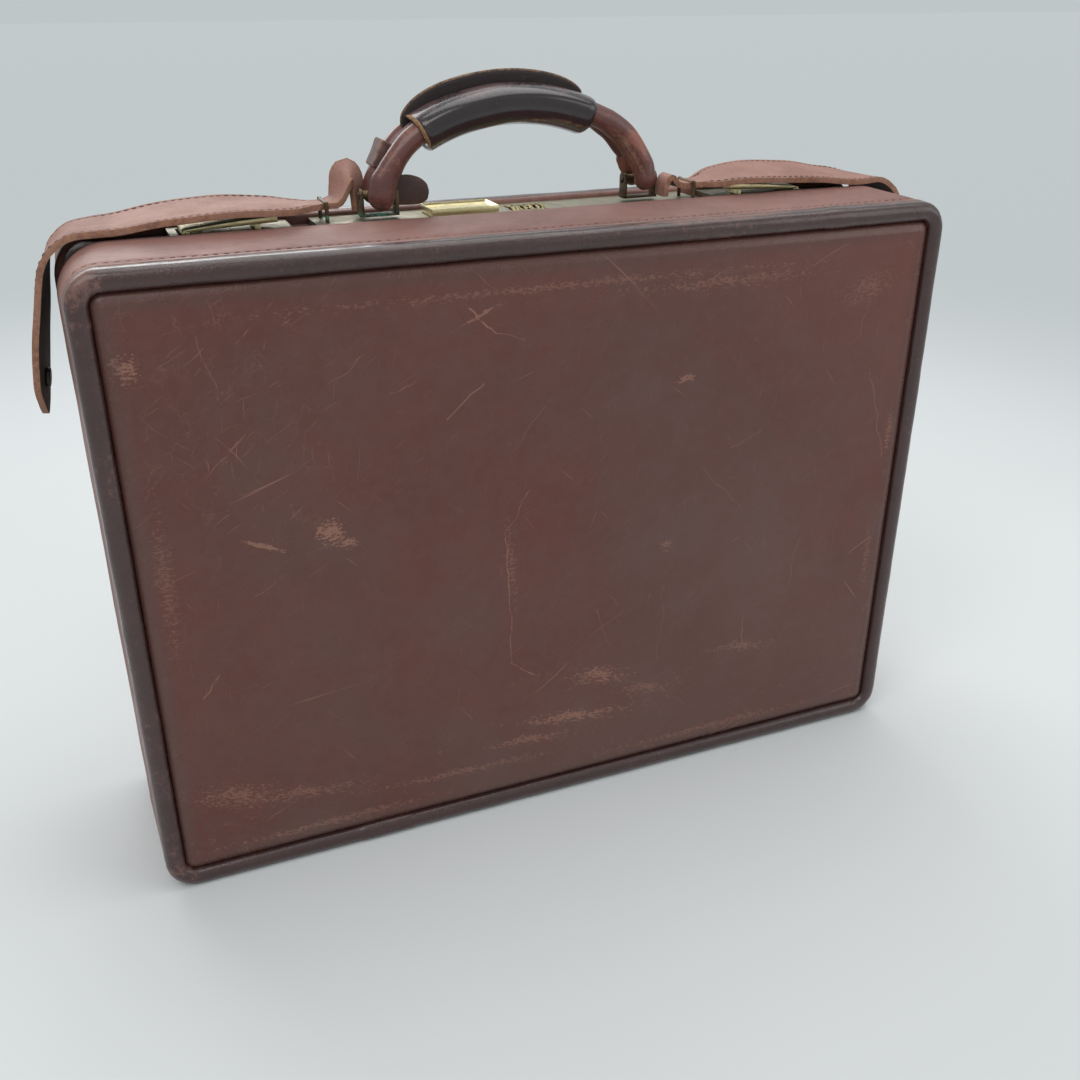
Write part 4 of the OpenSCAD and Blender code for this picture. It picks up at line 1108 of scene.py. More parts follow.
def outline_run(share, depth, pitch):
    """Evenly spaced places round the case on the band, with direction and outward."""
    corner = sizes().corner
    loop = []
    marks = [(CASE_X - corner, corner, -90, 0), (CASE_X - corner, CASE_Z - corner, 0, 90),
             (-CASE_X + corner, CASE_Z - corner, 90, 180), (-CASE_X + corner, corner, 180, 270)]
    for cx, cz, a0, a1 in marks:
        for k in range(13):
            a = math.radians(a0 + (a1 - a0) * k / 12)
            loop.append(band_place(cx + corner * math.cos(a), cz + corner * math.sin(a), share, depth))
    loop.append(loop[0])
    run, spare = [], 0.0
    for a, b in zip(loop, loop[1:]):
        d = b - a
        far = d.length
        if far < 1e-9:
            continue
        u = d / far
        while spare < far:
            p = a + u * spare
            run.append((p, u, Vector((u.y, -u.x))))
            spare += pitch
        spare -= far
    return run


def band_stitches(side, edge):
    s = sizes()
    start = CASE_Y - s.roll_d - BEAD_W
    y = side * (start - STITCH_IN)
    share = STITCH_IN / abs(side * start - edge)
    places = []
    for p, u, out in outline_run(share, 0.00055, s.stitch_pitch):
        if p.y < 0.004:
            continue
        slant = Vector((u.x, 0.16 * side, u.y))
        places.append(((p.x, y, p.y), slant, (out.x, 0, out.y)))
    return make_stitches(shell(side) + "_stitches", places, s.thread_r, s.stitch_pitch * 0.55)


class BRIEFCASE_OT_panels(bpy.types.Operator):
    """Adds the padded panels of the lid and the base"""

    bl_idname = "briefcase.panels"
    bl_label = "Add the panels"

    def execute(self, context):
        for side in (-1, 1):
            node = shell(side) + "_panel"
            finish_piece(make_panel(side), shell(side), MATERIALS[node], [node], 60)
        return {"FINISHED"}


class BRIEFCASE_OT_rolls(bpy.types.Operator):
    """Adds the edge rolls and the beads"""

    bl_idname = "briefcase.rolls"
    bl_label = "Add the rolls and beads"

    def execute(self, context):
        for side in (-1, 1):
            for key, make, slot in (("roll", make_roll, "hide_edge"), ("bead", make_bead, "hide_bead")):
                finish_piece(make(side), shell(side), MATERIALS[key], [shell(side) + "_" + key], 60)
        return {"FINISHED"}


class BRIEFCASE_OT_bands(bpy.types.Operator):
    """Adds the leather bands with their stitching"""

    bl_idname = "briefcase.bands"
    bl_label = "Add the bands"

    def execute(self, context):
        for side, edge in ((-1, LID_BACK), (1, BASE_FRONT)):
            body = shell(side)
            finish_piece(make_band(side, edge), body, MATERIALS["band"], [body + "_band"], 50)
            finish_piece(band_stitches(side, edge), body, MATERIALS["thread"])
        return {"FINISHED"}


# Leather straps: flat strips wrapped onto their lines


def heading(run, i):
    a, b = run[max(i - 1, 0)], run[min(i + 1, len(run) - 1)]
    return Vector((b[0] - a[0], b[1] - a[1])).normalized()


class StripLine:
    """Frames along a line of [x, z, width, tilt, y offset] stations, in mm on the right side."""

    def __init__(self, stations, side):
        self.run = stations
        self.side = side
        self.far = [0.0]
        for a, b in zip(stations, stations[1:]):
            self.far.append(self.far[-1] + math.hypot(b[0] - a[0], b[1] - a[1]))
        self.length = self.far[-1]

    def station(self, s):
        s = max(0.0, min(self.length, s))
        i = 0
        while i < len(self.far) - 2 and self.far[i + 1] < s:
            i += 1
        t = (s - self.far[i]) / max(1e-9, self.far[i + 1] - self.far[i])
        mixed = [p + (q - p) * t for p, q in zip(self.run[i], self.run[i + 1])]
        d = (heading(self.run, i) * (1 - t) + heading(self.run, i + 1) * t).normalized()
        return mixed, d

    def frame_at(self, s):
        """Middle, direction, side way and lift of the line at s."""
        st, d = self.station(s)
        tilt = math.radians(st[3])
        n = Vector((-d.y, 0, d.x))
        across = Vector((self.side * n.x * math.sin(tilt), math.cos(tilt), n.z * math.sin(tilt)))
        lift = Vector((self.side * n.x * math.cos(tilt), -math.sin(tilt), n.z * math.cos(tilt)))
        middle = Vector((self.side * st[0] * MM, MID_Y + st[4] * MM, st[1] * MM))
        return middle, Vector((self.side * d.x, 0, d.y)), across, lift

    def place(self, s, across, up):
        """World place of a point across the width and over the middle, both in mm."""
        middle, along, side_way, lift = self.frame_at(s)
        return middle + side_way * (across * MM) + lift * (up * MM)

    def at_x(self, x):
        """Length along the line where it first reaches x."""
        for i, st in enumerate(self.run):
            if st[0] >= x:
                return self.far[i]
        return self.length


# Straps and handle in mm, as in the frame's source: heights of the plate and the cross bars, the case's side
TOP = PLATE_TOP / MM
BAR_Z = PIVOT_Z / MM
SIDE_X = CASE_X / MM
# The handle's root, and each cord's distance from the middle plane
ROOT_X = 73.0
CORD_OFF = 7.7
STRAP_W = 40.0
# (x, z) of the strap's two hinges, and where its inner half meets its outer one
STRAP_HINGE = (ROOT_X + 33.2, TOP + 6.3)
END_HINGE = (SIDE_X + 6.2, TOP - 17)
CUT_X = 150.0
# Distances from a strap's edge: its seam, and its rows of points
FURROW = 2.4
EDGE_ROWS = (0.0, 1.0, 1.7, FURROW, 3.1, 4.2, 6.5, 9.5, 13.0, 16.5, 20.0)


def neck_stations(side):
    """The strap's narrow neck: low on the right side, a hump behind the cord on the left one."""
    z, off, x = STRAP_HINGE[1], CORD_OFF + 2.4, ROOT_X + 9.4
    foot = TOP + 1.8
    if side > 0:
        return [[x, foot, 10, 0, -off], [x + 0.3, BAR_Z - 2.5, 10.4, 0, -off],
                [x + 3.4, BAR_Z + 1.2, 11, 0, -off], [x + 8, z + 1.4, 12, 0, -CORD_OFF],
                [x + 12.6, z, 13, 0, -CORD_OFF * 0.8], [x + 17.6, z, 13, 0, -CORD_OFF * 0.7]]
    return [[x - 1, foot, 10, 30, off], [x - 1.1, BAR_Z + 3, 12, 38, off],
            [x + 0.3, BAR_Z + 8.4, 13.5, 40, off], [x + 3.2, BAR_Z + 10.5, 14.5, 40, off - 0.5],
            [x + 6.0, BAR_Z + 8.0, 14.5, 36, CORD_OFF + 1.4], [x + 7.8, BAR_Z + 3.2, 14, 26, CORD_OFF + 0.6],
            [x + 10.6, z + 1.6, 13.4, 12, CORD_OFF * 0.9], [x + 14.4, z + 0.4, 13, 4, CORD_OFF * 0.8],
            [x + 18.6, z, 13, 0, CORD_OFF * 0.7]]


def strap_line(side):
    """The strap from its neck over the latch, round the corner and down; the right one leans forward."""
    off = -side * CORD_OFF
    x, z, w = STRAP_HINGE[0], TOP, STRAP_W
    lean = -3.0 if side > 0 else 0.0
    body = [[x - 1.8, z + 6.3, 15.5, 0, off * 0.6], [x + 1.8, z + 6.4, 18, 0, off * 0.5],
            [x + 9.8, z + 6.8, w * 0.72, 1, off * 0.25], [x + 21.8, z + 8.3, w * 0.95, 2, 0],
            [CUT_X, z + 9.2, w, 3 - lean, 0], [CUT_X + 28, z + 7.6, w, 3 - lean, 0],
            [SIDE_X - 30, z + 4.7, w, 1.5 - lean, 0], [SIDE_X - 19, z + 3.9, w, -lean, 0],
            [SIDE_X - 8, z + 2.4, w, -2, 0], [SIDE_X + 0.4, z - 3.2, w, -4, 0],
            [SIDE_X + 4.4, z - 10, w, -6, 0], [END_HINGE[0], END_HINGE[1], w, -7, 0],
            [SIDE_X + 8.6, z - 29.5, w, -8, 0], [SIDE_X + 11.6, z - 44.3, w, -8, 0],
            [SIDE_X + 14.6, z - 64, w * 0.92, -8, 0]]
    tip = [body[-1], [SIDE_X + 15.1, z - 69, w * 0.80, -8, 0], [SIDE_X + 15.6, z - 74, w * 0.56, -8, 0],
           [SIDE_X + 16, z - 78.6, w * 0.30, -8, 0], [SIDE_X + 16.3, z - 82, w * 0.05, -8, 0]]
    return StripLine(catmull(neck_stations(side) + body, 6) + catmull(tip, 6)[1:], side)


def row_across(row, width):
    """Place across the strip of a row of points, with rows packed near its edges."""
    half = width / 2
    inside = EDGE_ROWS[min(row, 2 * len(EDGE_ROWS) - 2 - row)] * half / (STRAP_W / 2)
    near = min(EDGE_ROWS[min(row, 2 * len(EDGE_ROWS) - 2 - row)], 4.2)
    share = unit((half - 7.0) / 6.0)
    inside = max(inside, inside + (near - inside) * share) if near < 4.2 else inside
    return math.copysign(half - inside, row - len(EDGE_ROWS) + 1)


def wrap_strip(name, line, s0, s1, thick, pitch, relief=None, open_ends=(False, False)):
    """A flat strip of leather with thickness and rounded edges, laid on its line."""
    rows = 2 * len(EDGE_ROWS) - 1
    count = max(6, round((s1 - s0) / pitch))
    deselect()
    bpy.ops.mesh.primitive_grid_add(x_subdivisions=count, y_subdivisions=rows - 1, size=2)
    obj = added(name)
    for v in obj.data.vertices:
        s = s0 + (v.co.x + 1) / 2 * (s1 - s0)
        row = round((v.co.y + 1) / 2 * (rows - 1))
        v.co = (s * MM, row_across(row, line.station(s)[0][2]) * MM, 0)
    obj.data.update()
    modify(obj, "SOLIDIFY", thickness=thick * MM, offset=0.0, use_even_offset=False)
    choose(obj, "EDGE", lambda e: len(e.link_faces) == 2 and e.calc_face_angle(0) > 1.0
           and not (open_ends[0] and all(abs(v.co.x - s0 * MM) < 1e-6 for v in e.verts))
           and not (open_ends[1] and all(abs(v.co.x - s1 * MM) < 1e-6 for v in e.verts)))
    bpy.ops.mesh.bevel(offset=0.30 * thick * MM, segments=3, affect="EDGES", profile=0.5, clamp_overlap=True)
    object_mode()
    if open_ends[0] or open_ends[1]:
        choose(obj, "FACE", lambda f: (open_ends[0] and all(abs(v.co.x - s0 * MM) < 2e-6 for v in f.verts))
               or (open_ends[1] and all(abs(v.co.x - s1 * MM) < 2e-6 for v in f.verts)))
        bpy.ops.mesh.delete(type="FACE")
        object_mode()
    raw, wear = [], []
    for v in obj.data.vertices:
        s, across, up = v.co.x / MM, v.co.y / MM, v.co.z / MM
        half = line.station(s)[0][2] / 2
        edge = min(half - abs(across), s1 - s + (99 if open_ends[1] else 0),
                   s - s0 + (99 if open_ends[0] else 0))
        rise, rub = relief(s, across, edge, up > 0) if relief else (0.0, 0.3)
        raw.append(unit((1.15 - edge) / 0.5) * (1.0 if abs(up) < thick * 0.45 else 0.35))
        wear.append(rub)
        v.co = line.place(s, across, up + rise)
    obj.data.update()
    write(obj, raw=raw, wear=wear)
    return outwards(obj)


def strap_relief(line):
    """Furrow under the stitches, creases at the corner bend, and soft hand-worn waves."""
    def relief(s, across, edge, top):
        st = line.station(s)[0]
        wide = unit((st[2] - 16) / 8)
        furrow = -0.38 * peak(edge, FURROW, 0.85) * wide
        bend = max(0.0, 1 - abs(st[0] - SIDE_X - 1) / 9)
        crease = -0.22 * bend * abs(math.sin(s * 1.5 + 0.7 * hash_noise(across * MM, s * MM, 0, 0.006)))
        soft = 0.45 * hash_noise(s * MM, across * MM, line.side * 0.3, 0.028) * wide
        curl = 0.5 * (abs(across) / 20) ** 4 * wide * (0.5 + 0.5 * hash_noise(s * MM, 0, line.side, 0.05))
        rub = 0.30 + 0.30 * hash_noise(s * MM, across * MM, 5, 0.02) + 0.25 * bend
        rub += 0.35 * max(0.0, 1 - edge / 2.2)
        return (soft + curl + (furrow + crease if top else 0.0)), rub
    return relief


def edge_stitches(name, line, s0, s1, inset, top, pitch, length, radius, least=15.0):
    """Stitches along both edges of a strip, where it is wide enough."""
    places = []
    for way in (-1, 1):
        s = s0 + pitch / 2
        while s < s1:
            st = line.station(s)[0]
            ahead = line.station(s + 0.5)[0]
            if st[2] > least:
                across = way * (st[2] / 2 - inset)
                here = line.place(s, across, top)
                there = line.place(s + 0.5, way * (ahead[2] / 2 - inset), top)
                middle, along, side_way, lift = line.frame_at(s)
                places.append((here, there - here, lift))
            s += pitch
    return make_stitches(name, places, radius, length)


def look_by_part(obj, counts, low):
    """Material 0 on top, 1 below the leather, 2 on the thread that was joined in last."""
    for i, face in enumerate(obj.data.polygons):
        if i >= counts:
            face.material_index = 2
        elif low[i]:
            face.material_index = 1


def make_strap(side, half):
    """Half of a strap, up to the cut or beyond it, with its underside and its stitches."""
    s = sizes()
    thick = s.strap_t / MM
    line = strap_line(side)
    cut = line.at_x(CUT_X)
    s0, s1 = (0.0, cut) if half == "inner" else (cut, line.length)
    ends = (False, True) if half == "inner" else (True, False)
    name = hand(side) + "_strap_" + half
    relief = strap_relief(line)
    strip = wrap_strip(name, line, s0, s1, thick, 1.6, relief, ends)
    low = []
    for face in strip.data.polygons:
        x = abs(face.center.x) / MM
        middle, along, across, lift = line.frame_at(nearest_s(line, x, face.center.z / MM))
        low.append(face.normal.dot(lift) < -0.5)
    seam_from = max(s0, line.at_x(STRAP_HINGE[0] + 3))
    top = thick / 2 - 0.12
    threads = edge_stitches(name + "_thread", line, seam_from, min(s1, line.length - 4), FURROW, top,
                            s.stitch_pitch / MM * 0.8, s.stitch_pitch * 0.5, s.thread_r * 1.35)
    count = len(strip.data.polygons)
    whole = join(name, [strip, threads])
    return whole, count, low


def nearest_s(line, x, z):
    best = min(range(len(line.run)), key=lambda i: (line.run[i][0] - x) ** 2 + (line.run[i][1] - z) ** 2)
    return line.far[best]


class BRIEFCASE_OT_straps(bpy.types.Operator):
    """Adds the two leather straps with their stitches"""

    bl_idname = "briefcase.straps"
    bl_label = "Add the straps"

    def execute(self, context):
        m = MATERIALS
        for side in (1, -1):
            word = hand(side)
            flap = word + "_strap_flap"
            halves = (("inner", ["strap_necks", word + "_strap"], "base", flap, STRAP_HINGE, (3.5, 0)),
                      ("outer", [word + "_strap_end"], flap, word + "_end_flap", END_HINGE, (0.5, -3.5)))
            for half, gone, before, after, hinge, reach in halves:
                obj, count, low = make_strap(side, half)
                finish_piece(obj, None, [m["strap"], m["under"], m["thread_dark"]], gone, 60)
                look_by_part(obj, count, low)
                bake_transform(obj)
        return {"FINISHED"}


# The handle: two rolled cords, the sleeve round them with its free flap, and a keeper


GRIP_SHIFT = (lo("grip_sleeve").x + hi("grip_sleeve").x) / 2 / MM
GRIP_LEN = 92.0
# Ends of the sleeve, radius of a cord, and radius, rise and centre of the bow that both follow
GRIP_LEFT, GRIP_RIGHT = GRIP_SHIFT - GRIP_LEN / 2, GRIP_SHIFT + GRIP_LEN / 2
CORD_R = 5.4
BOW = 111.0
BOW_RISE = 42.5
BOW_Z = BAR_Z + BOW_RISE - BOW
# The sleeve's half width, its reach over and under the bow, with padding below, and how square its round is
PAD = 5.0
SLEEVE_HALF, SLEEVE_UP, SLEEVE_DOWN = 14.9, 7.5, 7.3 + PAD
SIDE_ROUND, TOP_ROUND = 0.86, 0.85
# Inset of the raw ring from the sleeve's skin
RING_IN = 0.3
# Half sizes in the cord's plane and across it, by distance from the root's cross bar
ROOT_SHAPES = {
    ("front", -1): [(0, 7.0, 5.6), (6, 6.8, 5.6), (12, 5.9, 5.3), (20, CORD_R, CORD_R)],
    ("front", 1): [(0, 5.9, 5.6), (8, 6.3, 5.0), (20, 6.6, 4.8), (34, 6.0, 5.2), (44, CORD_R, CORD_R)],
    ("rear", -1): [(0, 6.2, 5.2), (8, 5.6, 5.2), (20, CORD_R, CORD_R)],
    ("rear", 1): [(0, 5.6, 5.2), (7, 6.7, 5.4), (12, 6.4, 5.4), (14.5, 5.0, 4.9), (20, CORD_R, CORD_R)],
}


def along_table(table, e):
    for a, b in zip(table, table[1:]):
        if e <= b[0]:
            t = max(0.0, (e - a[0]) / (b[0] - a[0]))
            t = t * t * (3 - 2 * t)
            return [p + (q - p) * t for p, q in zip(a[1:], b[1:])]
    return list(table[-1][1:])


def bow(x):
    return BOW_Z + math.sqrt(BOW * BOW - x * x)


def tube(name, rings):
    """Closed skin through rings of (point, raw, wear); a ring in one point closes an end."""
    n, m = len(rings), len(rings[0])
    deselect()
    bpy.ops.mesh.primitive_grid_add(x_subdivisions=n - 1, y_subdivisions=m, size=2)
    obj = added(name)
    raw, wear = [], []
    for v in obj.data.vertices:
        ring = rings[round((v.co.x + 1) / 2 * (n - 1))]
        point, a, b = ring[round((v.co.y + 1) / 2 * m) % m]
        v.co = point
        raw.append(a)
        wear.append(b)
    obj.data.update()
    write(obj, raw=raw, wear=wear)
    return outwards(obj, weld=True)


def capped(rings, raw, wear):
    """The rings with both ends closed in their middles."""
    def middle(end):
        return [(sum((p for p, a, b in end), Vector()) / len(end), raw, wear)] * len(end)
    return [middle(rings[0])] + rings + [middle(rings[-1])]


def half_run():
    """Middle of a cord from the top of the bow to the right root, in mm."""
    top = [(x, bow(x)) for x in range(0, 48, 3)]
    down = catmull([[50, bow(50)], [59.5, BAR_Z + 23.5], [ROOT_X - 6, BAR_Z + 14],
                    [ROOT_X - 1.6, BAR_Z + 6.5], [ROOT_X, BAR_Z]], 7)
    return top + [tuple(p) for p in down]


def cord_relief(row, side, e, angle, x, z):
    """Seam under the bow, a folded flat stretch on the front right, creases and rubbed patches."""
    def near(at, width):
        return max(0.0, 1 - abs((angle - at + 180) % 360 - 180) / width)
    rise = 0.5 * near(270, 16) * min(1.0, e / 8)
    raw = 0.7 * near(270, 20)
    rise += 0.16 * hash_noise(x * MM, angle / 9000, z * MM, 0.006)
    rise += 0.28 * hash_noise(x * MM, angle / 3000, z * MM, 0.02)
    wear = 0.28 + 0.3 * hash_noise(x * MM, angle / 4000, z * MM, 0.012)
    if row == "front" and side > 0:
        here = min(1.0, e / 8, max(0.0, (40 - e) / 10))
        for at, deep in ((205, 0.9), (232, 0.7)):
            rise -= deep * near(at, 9) * here
            raw = max(raw, 0.9 * near(at, 15) * here)
        wear += 0.75 * peak(e, 20, 12) * max(near(160, 50), near(110, 45))
    if row == "front" and side < 0:
        wear += 0.35 * peak(e, 26, 18) * near(140, 70)
    if row == "rear" and side > 0:
        wear += 0.8 * peak(e, 8, 7)
        rise -= 0.5 * peak(e, 14.5, 1.4)
    return rise, raw, wear


def make_cord(row):
    y = MID_Y / MM + (-CORD_OFF if row == "front" else CORD_OFF)
    half = half_run()
    run = [(-x, z) for x, z in reversed(half[1:])] + half
    far = [0.0]
    for a, b in zip(half, half[1:]):
        far.append(far[-1] + math.hypot(b[0] - a[0], b[1] - a[1]))
    sides = 28
    rings = []
    n = len(run)

    def ring(cx, cz, d, a, b, side, e, plain=False):
        points = []
        for j in range(sides):
            angle = 360 * j / sides
            rise, raw, wear = cord_relief(row, side, e, angle, cx, cz)
            grow = 0.0 if plain else rise
            u, w = math.sin(math.radians(angle)), math.cos(math.radians(angle))
            p = Vector((cx - d[1] * (a + grow) * u, y + (b + grow) * w, cz + d[0] * (a + grow) * u))
            points.append((p * MM, raw, wear))
        return points

    for i in range(n):
        side = -1 if i < len(half) - 1 else 1
        e = far[-1] - far[abs(i - len(half) + 1)]
        a, b = along_table(ROOT_SHAPES[(row, side)], e)
        p, q = run[max(i - 1, 0)], run[min(i + 1, n - 1)]
        d = (q[0] - p[0], q[1] - p[1])
        size = math.hypot(*d)
        d = (d[0] / size, d[1] / size)
        if i in (0, n - 1):
            turn = -1 if i == 0 else 1
            cap = []
            for k in range(1, 7):
                t = math.radians(15 * k)
                cx, cz = run[i][0] + turn * d[0] * a * math.sin(t), run[i][1] + turn * d[1] * a * math.sin(t)
                cap.append(ring(cx, cz, d, a * math.cos(t) + 1e-6, b * math.cos(t) + 1e-6, side, 0, k == 6)
                           if k < 6 else [(Vector((cx, y, cz)) * MM, 0.0, 0.4)] * sides)
            own = ring(run[i][0], run[i][1], d, a, b, side, e)
            rings += list(reversed(cap)) + [own] if i == 0 else [own] + cap
        else:
            rings.append(ring(run[i][0], run[i][1], d, a, b, side, e))
    return tube(row + "_cord_leather", rings)


def bow_frame(x):
    """Middle and heading of the bow at x, carried straight on past its ends."""
    x0 = max(-60.0, min(60.0, x))
    slope = -x0 / math.sqrt(BOW * BOW - x0 * x0)
    size = math.hypot(1, slope)
    return (x, bow(x0) + (x - x0) * slope), (1 / size, slope / size)


def bow_point(x, y, h):
    """Point at height h over the bow's middle line."""
    (cx, cz), d = bow_frame(x)
    return Vector((cx - d[1] * h, MID_Y / MM + y, cz + d[0] * h)) * MM


def make_sleeve():
    """Glossy sleeve round both cords, with a rounded right end and a seam low on its front."""
    sides, x0, x1 = 56, GRIP_LEFT, GRIP_RIGHT
    stations = [(x0 + 3.5, 0.74), (x0 + 1.2, 0.80), (x0 + 0.2, 0.88), (x0, 0.94), (x0 + 0.5, 0.985)]
    stations += [(x0 + 2.0 + (GRIP_LEN - 4.5) * k / 40, 1.0) for k in range(41)]
    stations += [(x1 - 1.9, 0.985), (x1 - 0.9, 0.955), (x1 - 0.2, 0.91), (x1, 0.86), (x1 - 0.4, 0.80),
                 (x1 - 3.5, 0.74)]
    rings = []
    for x, scale in stations:
        ring = []
        seam = -62 + 24 * unit((x + 25) / 50)
        for j in range(sides):
            angle = 360 * j / sides - 180
            c, s = math.cos(math.radians(angle)), math.sin(math.radians(angle))
            across = -SLEEVE_HALF * scale * rounded(c, SIDE_ROUND)
            on = peak(angle, seam, 5) * unit((x + 30) / 12)
            h = (SLEEVE_UP if s > 0 else SLEEVE_DOWN) * scale * rounded(s, TOP_ROUND)
            soft = 0.22 * hash_noise(x * MM, angle / 5000, 2, 0.018) + 0.5 * on - 0.25 * on * on
            point = bow_point(x, across - soft * c, h + soft * s)
            # The wear layer rises over the sleeve's upper half, fully towards the front and top. The purple
            # brown worn colour laid there stands partly for rubbing and partly as a painted sheen on the
            # upward faces
            ring.append((point, 0.9 * on, 0.18 + 0.25 * hash_noise(x * MM, angle / 4000, 7, 0.015)
                         + 0.5 * max(0.0, math.sin(math.radians(angle - 15))) * (1 if c > -0.2 else 0.4)))
        rings.append(ring)
    first, last = ([(bow_point(x, 0, 0), 0.6, 0.2)] * sides for x in (x0 + 3.5, x1 - 3.5))
    return tube("grip_sleeve_leather", [first] + rings + [last])


def make_flap():
    """Free edge of the sleeve, standing along its back and drooping past the left end."""
    x0, x1 = GRIP_LEFT, GRIP_RIGHT
    keys = [[x0 - 5.5, 5.2, -6, 5.2, 1], [x0 - 3.5, 5.4, -4, 5.4, 6.4], [x0 - 0.5, 5.6, 0.5, 5.2, 9.8],
            [x0 + 6, 5.8, 4, 4.6, 12.6], [x0 + 16, 6, 5, 4.3, 13.9], [x0 + 34, 6, 5, 4.2, 14],
            [x0 + 56, 6, 5, 4.2, 13.9], [x0 + 74, 6, 5, 4.3, 13.2], [x1 - 9, 6, 5, 4.6, 11.8],
            [x1 - 4, 6, 5, 5, 9.6], [x1 - 2.6, 6, 5, 5.4, 7.6]]
    rings = []
    run = catmull(keys, 6)
    for i, (x, yb, hb, yt, ht) in enumerate(run):
        thin = 1.2 * min(1.0, 0.45 + 0.3 * min(i, len(run) - 1 - i))
        ring = []
        waves = 0.3 * hash_noise(x * MM, 0.4, 0.2, 0.02)

        def face(k, away, rub):
            share = k / 6
            y = yt + (yb - yt) * share + away
            return bow_point(x, y + waves * (1 - share), (ht - thin) * (1 - share) + hb * share), 0.0, rub

        for k in range(9):
            t = math.radians(180 * k / 8)
            ring.append((bow_point(x, yt + waves + thin * math.cos(t), ht - thin + thin * math.sin(t)),
                         max(0.0, math.sin(t)) ** 0.5, 0.35))
        ring += [face(k, -thin, 0.25 + 0.2 * hash_noise(x * MM, k / 6 * 0.01, 4, 0.01)) for k in range(1, 6)]
        for k in range(9):
            t = math.radians(180 + 180 * k / 8)
            ring.append((bow_point(x, yb + thin * math.cos(t), hb + thin * math.sin(t)), 0.4, 0.3))
        ring += [face(k, thin, 0.3) for k in range(5, 0, -1)]
        rings.append(ring)
    return tube("grip_flap_leather", capped(rings, 0.8, 0.4))


def make_ring():
    """Raw rolled edge at the left end of the sleeve, round the front cord."""
    rings = []
    count = 26
    for i in range(count + 1):
        angle = math.radians(104 - 150 * i / count)
        c, s = math.cos(angle), math.sin(angle)
        across = -(SLEEVE_HALF - 2 * RING_IN) * rounded(c, SIDE_ROUND)
        h = ((SLEEVE_UP if s > 0 else SLEEVE_DOWN) - RING_IN) * rounded(s, TOP_ROUND)
        r = 0.95 * min(1.0, 0.25 + 0.2 * min(i, count - i)) * (1 + 0.35 * hash_noise(i * 0.006, 0, 3, 0.006))
        ring = []
        for j in range(10):
            t = math.radians(36 * j)
            ring.append((bow_point(GRIP_LEFT - 0.6 + r * math.cos(t), across - r * c * math.sin(t),
                                   h + r * s * math.sin(t)),
                         0.6 + 0.4 * hash_noise(i * 0.003, j * 0.001, 5, 0.004), 0.5))
        rings.append(ring)
    return tube("grip_end_ring", capped(rings, 1.0, 0.7))


def make_keeper():
    """Box shaped leather keeper on the rear cord, with lighter worn edges."""
    middle = (lo("cord_keeper") + hi("cord_keeper")) / 2
    half, tall, edge = 0.0071, 0.007, 0.0011
    obj = block("keeper_leather", (-half, -half, -tall), (half, half, tall))
    subdivided(obj, 8, lambda e: True)
    for v in obj.data.vertices:
        high = max(abs(v.co.x), abs(v.co.y))
        v.co += Vector((v.co.x, v.co.y, 0)) * (0.02 * (v.co.z / tall) ** 2 - 0.02) * (high / half)
    soften(obj, edge)
    raw = []
    for v in obj.data.vertices:
        gaps = sorted((half - abs(v.co.x), half - abs(v.co.y), tall - abs(v.co.z)))
        raw.append(unit(1.2 - gaps[1] / edge))
    write(obj, raw=raw)
    paint(obj, "wear", lambda co: 0.35 + 0.4 * noise_at(co, 0.006))
    dent(obj, lambda co: 0.00025 * noise_at(co, 0.005))
    bpy.ops.transform.rotate(value=math.radians(-26), orient_axis="Y", center_override=(0, 0, 0))
    bpy.ops.transform.translate(value=middle)
    return outwards(apply_place(obj))


def make_tongue():
    """Short rounded leather tongue folded round the left cross bar, between the cords."""
    rings = []
    for i, (x, low, high) in enumerate(catmull([[-71.0, 339.0, 349.5], [-64.0, 337.6, 351.6],
                                                [-57.0, 337.1, 352.0], [-51.0, 337.4, 350.2],
                                                [-47.6, 339.2, 347.4], [-46.6, 342.0, 344.6]], 5)):
        mid, tall = (low + high) / 2, (high - low) / 2
        ring = []
        for j in range(24):
            t = math.radians(15 * j)
            c, s = math.cos(t), math.sin(t)
            y = MID_Y / MM + 2.0 * rounded(c, 0.5) * (1 if i < 22 else 0.7)
            ring.append((Vector((x, y, mid + tall * rounded(s, 0.9))) * MM, abs(s) ** 6 * 0.6,
                         0.2 + 0.3 * hash_noise(x * MM, c * 0.01, s * 0.01, 0.008)))
        rings.append(ring)
    return tube("cord_tongue", capped(rings, 0.5, 0.3))


class BRIEFCASE_OT_handle(bpy.types.Operator):
    """Adds the handle: cords, glossy sleeve, free flap, raw end, keeper and tongue"""

    bl_idname = "briefcase.handle"
    bl_label = "Add the handle"

    def execute(self, context):
        m = MATERIALS
        pieces = [(make_cord("front"), "cord", ["front_cord"], 60),
                  (make_cord("rear"), "cord", ["rear_cord"], 60),
                  (make_sleeve(), "grip", ["grip_sleeve"], 60), (make_flap(), "flap", ["grip_flap"], 60),
                  (make_ring(), "raw", [], 70), (make_keeper(), "keeper", ["cord_keeper"], 45),
                  (make_tongue(), "tongue", [], 60)]
        for obj, look, gone, angle in pieces:
            finish_piece(obj, "handle", m[look], gone, angle)
        return {"FINISHED"}


# Metal fittings and the inside


def dress(names, material):
    """Gives frame solids that keep their shape one of the scene's materials."""
    for name in names:
        obj = bpy.data.objects[name]
        if not obj.material_slots:
            obj.data.materials.append(material)
        for slot in obj.material_slots:
            slot.material = material


def spread(obj, mark_raw=0.0):
    """Gives a metal piece the two point attributes that the materials read."""
    paint(obj, "wear", lambda co: 0.4)
    paint(obj, "raw", lambda co: mark_raw)
    return obj


def turned_about(obj, turn, old, new):
    """Turns a piece about a point and moves that point to a new place."""
    for v in obj.data.vertices:
        v.co = new + turn @ (v.co - old)
    obj.data.update()
    return obj


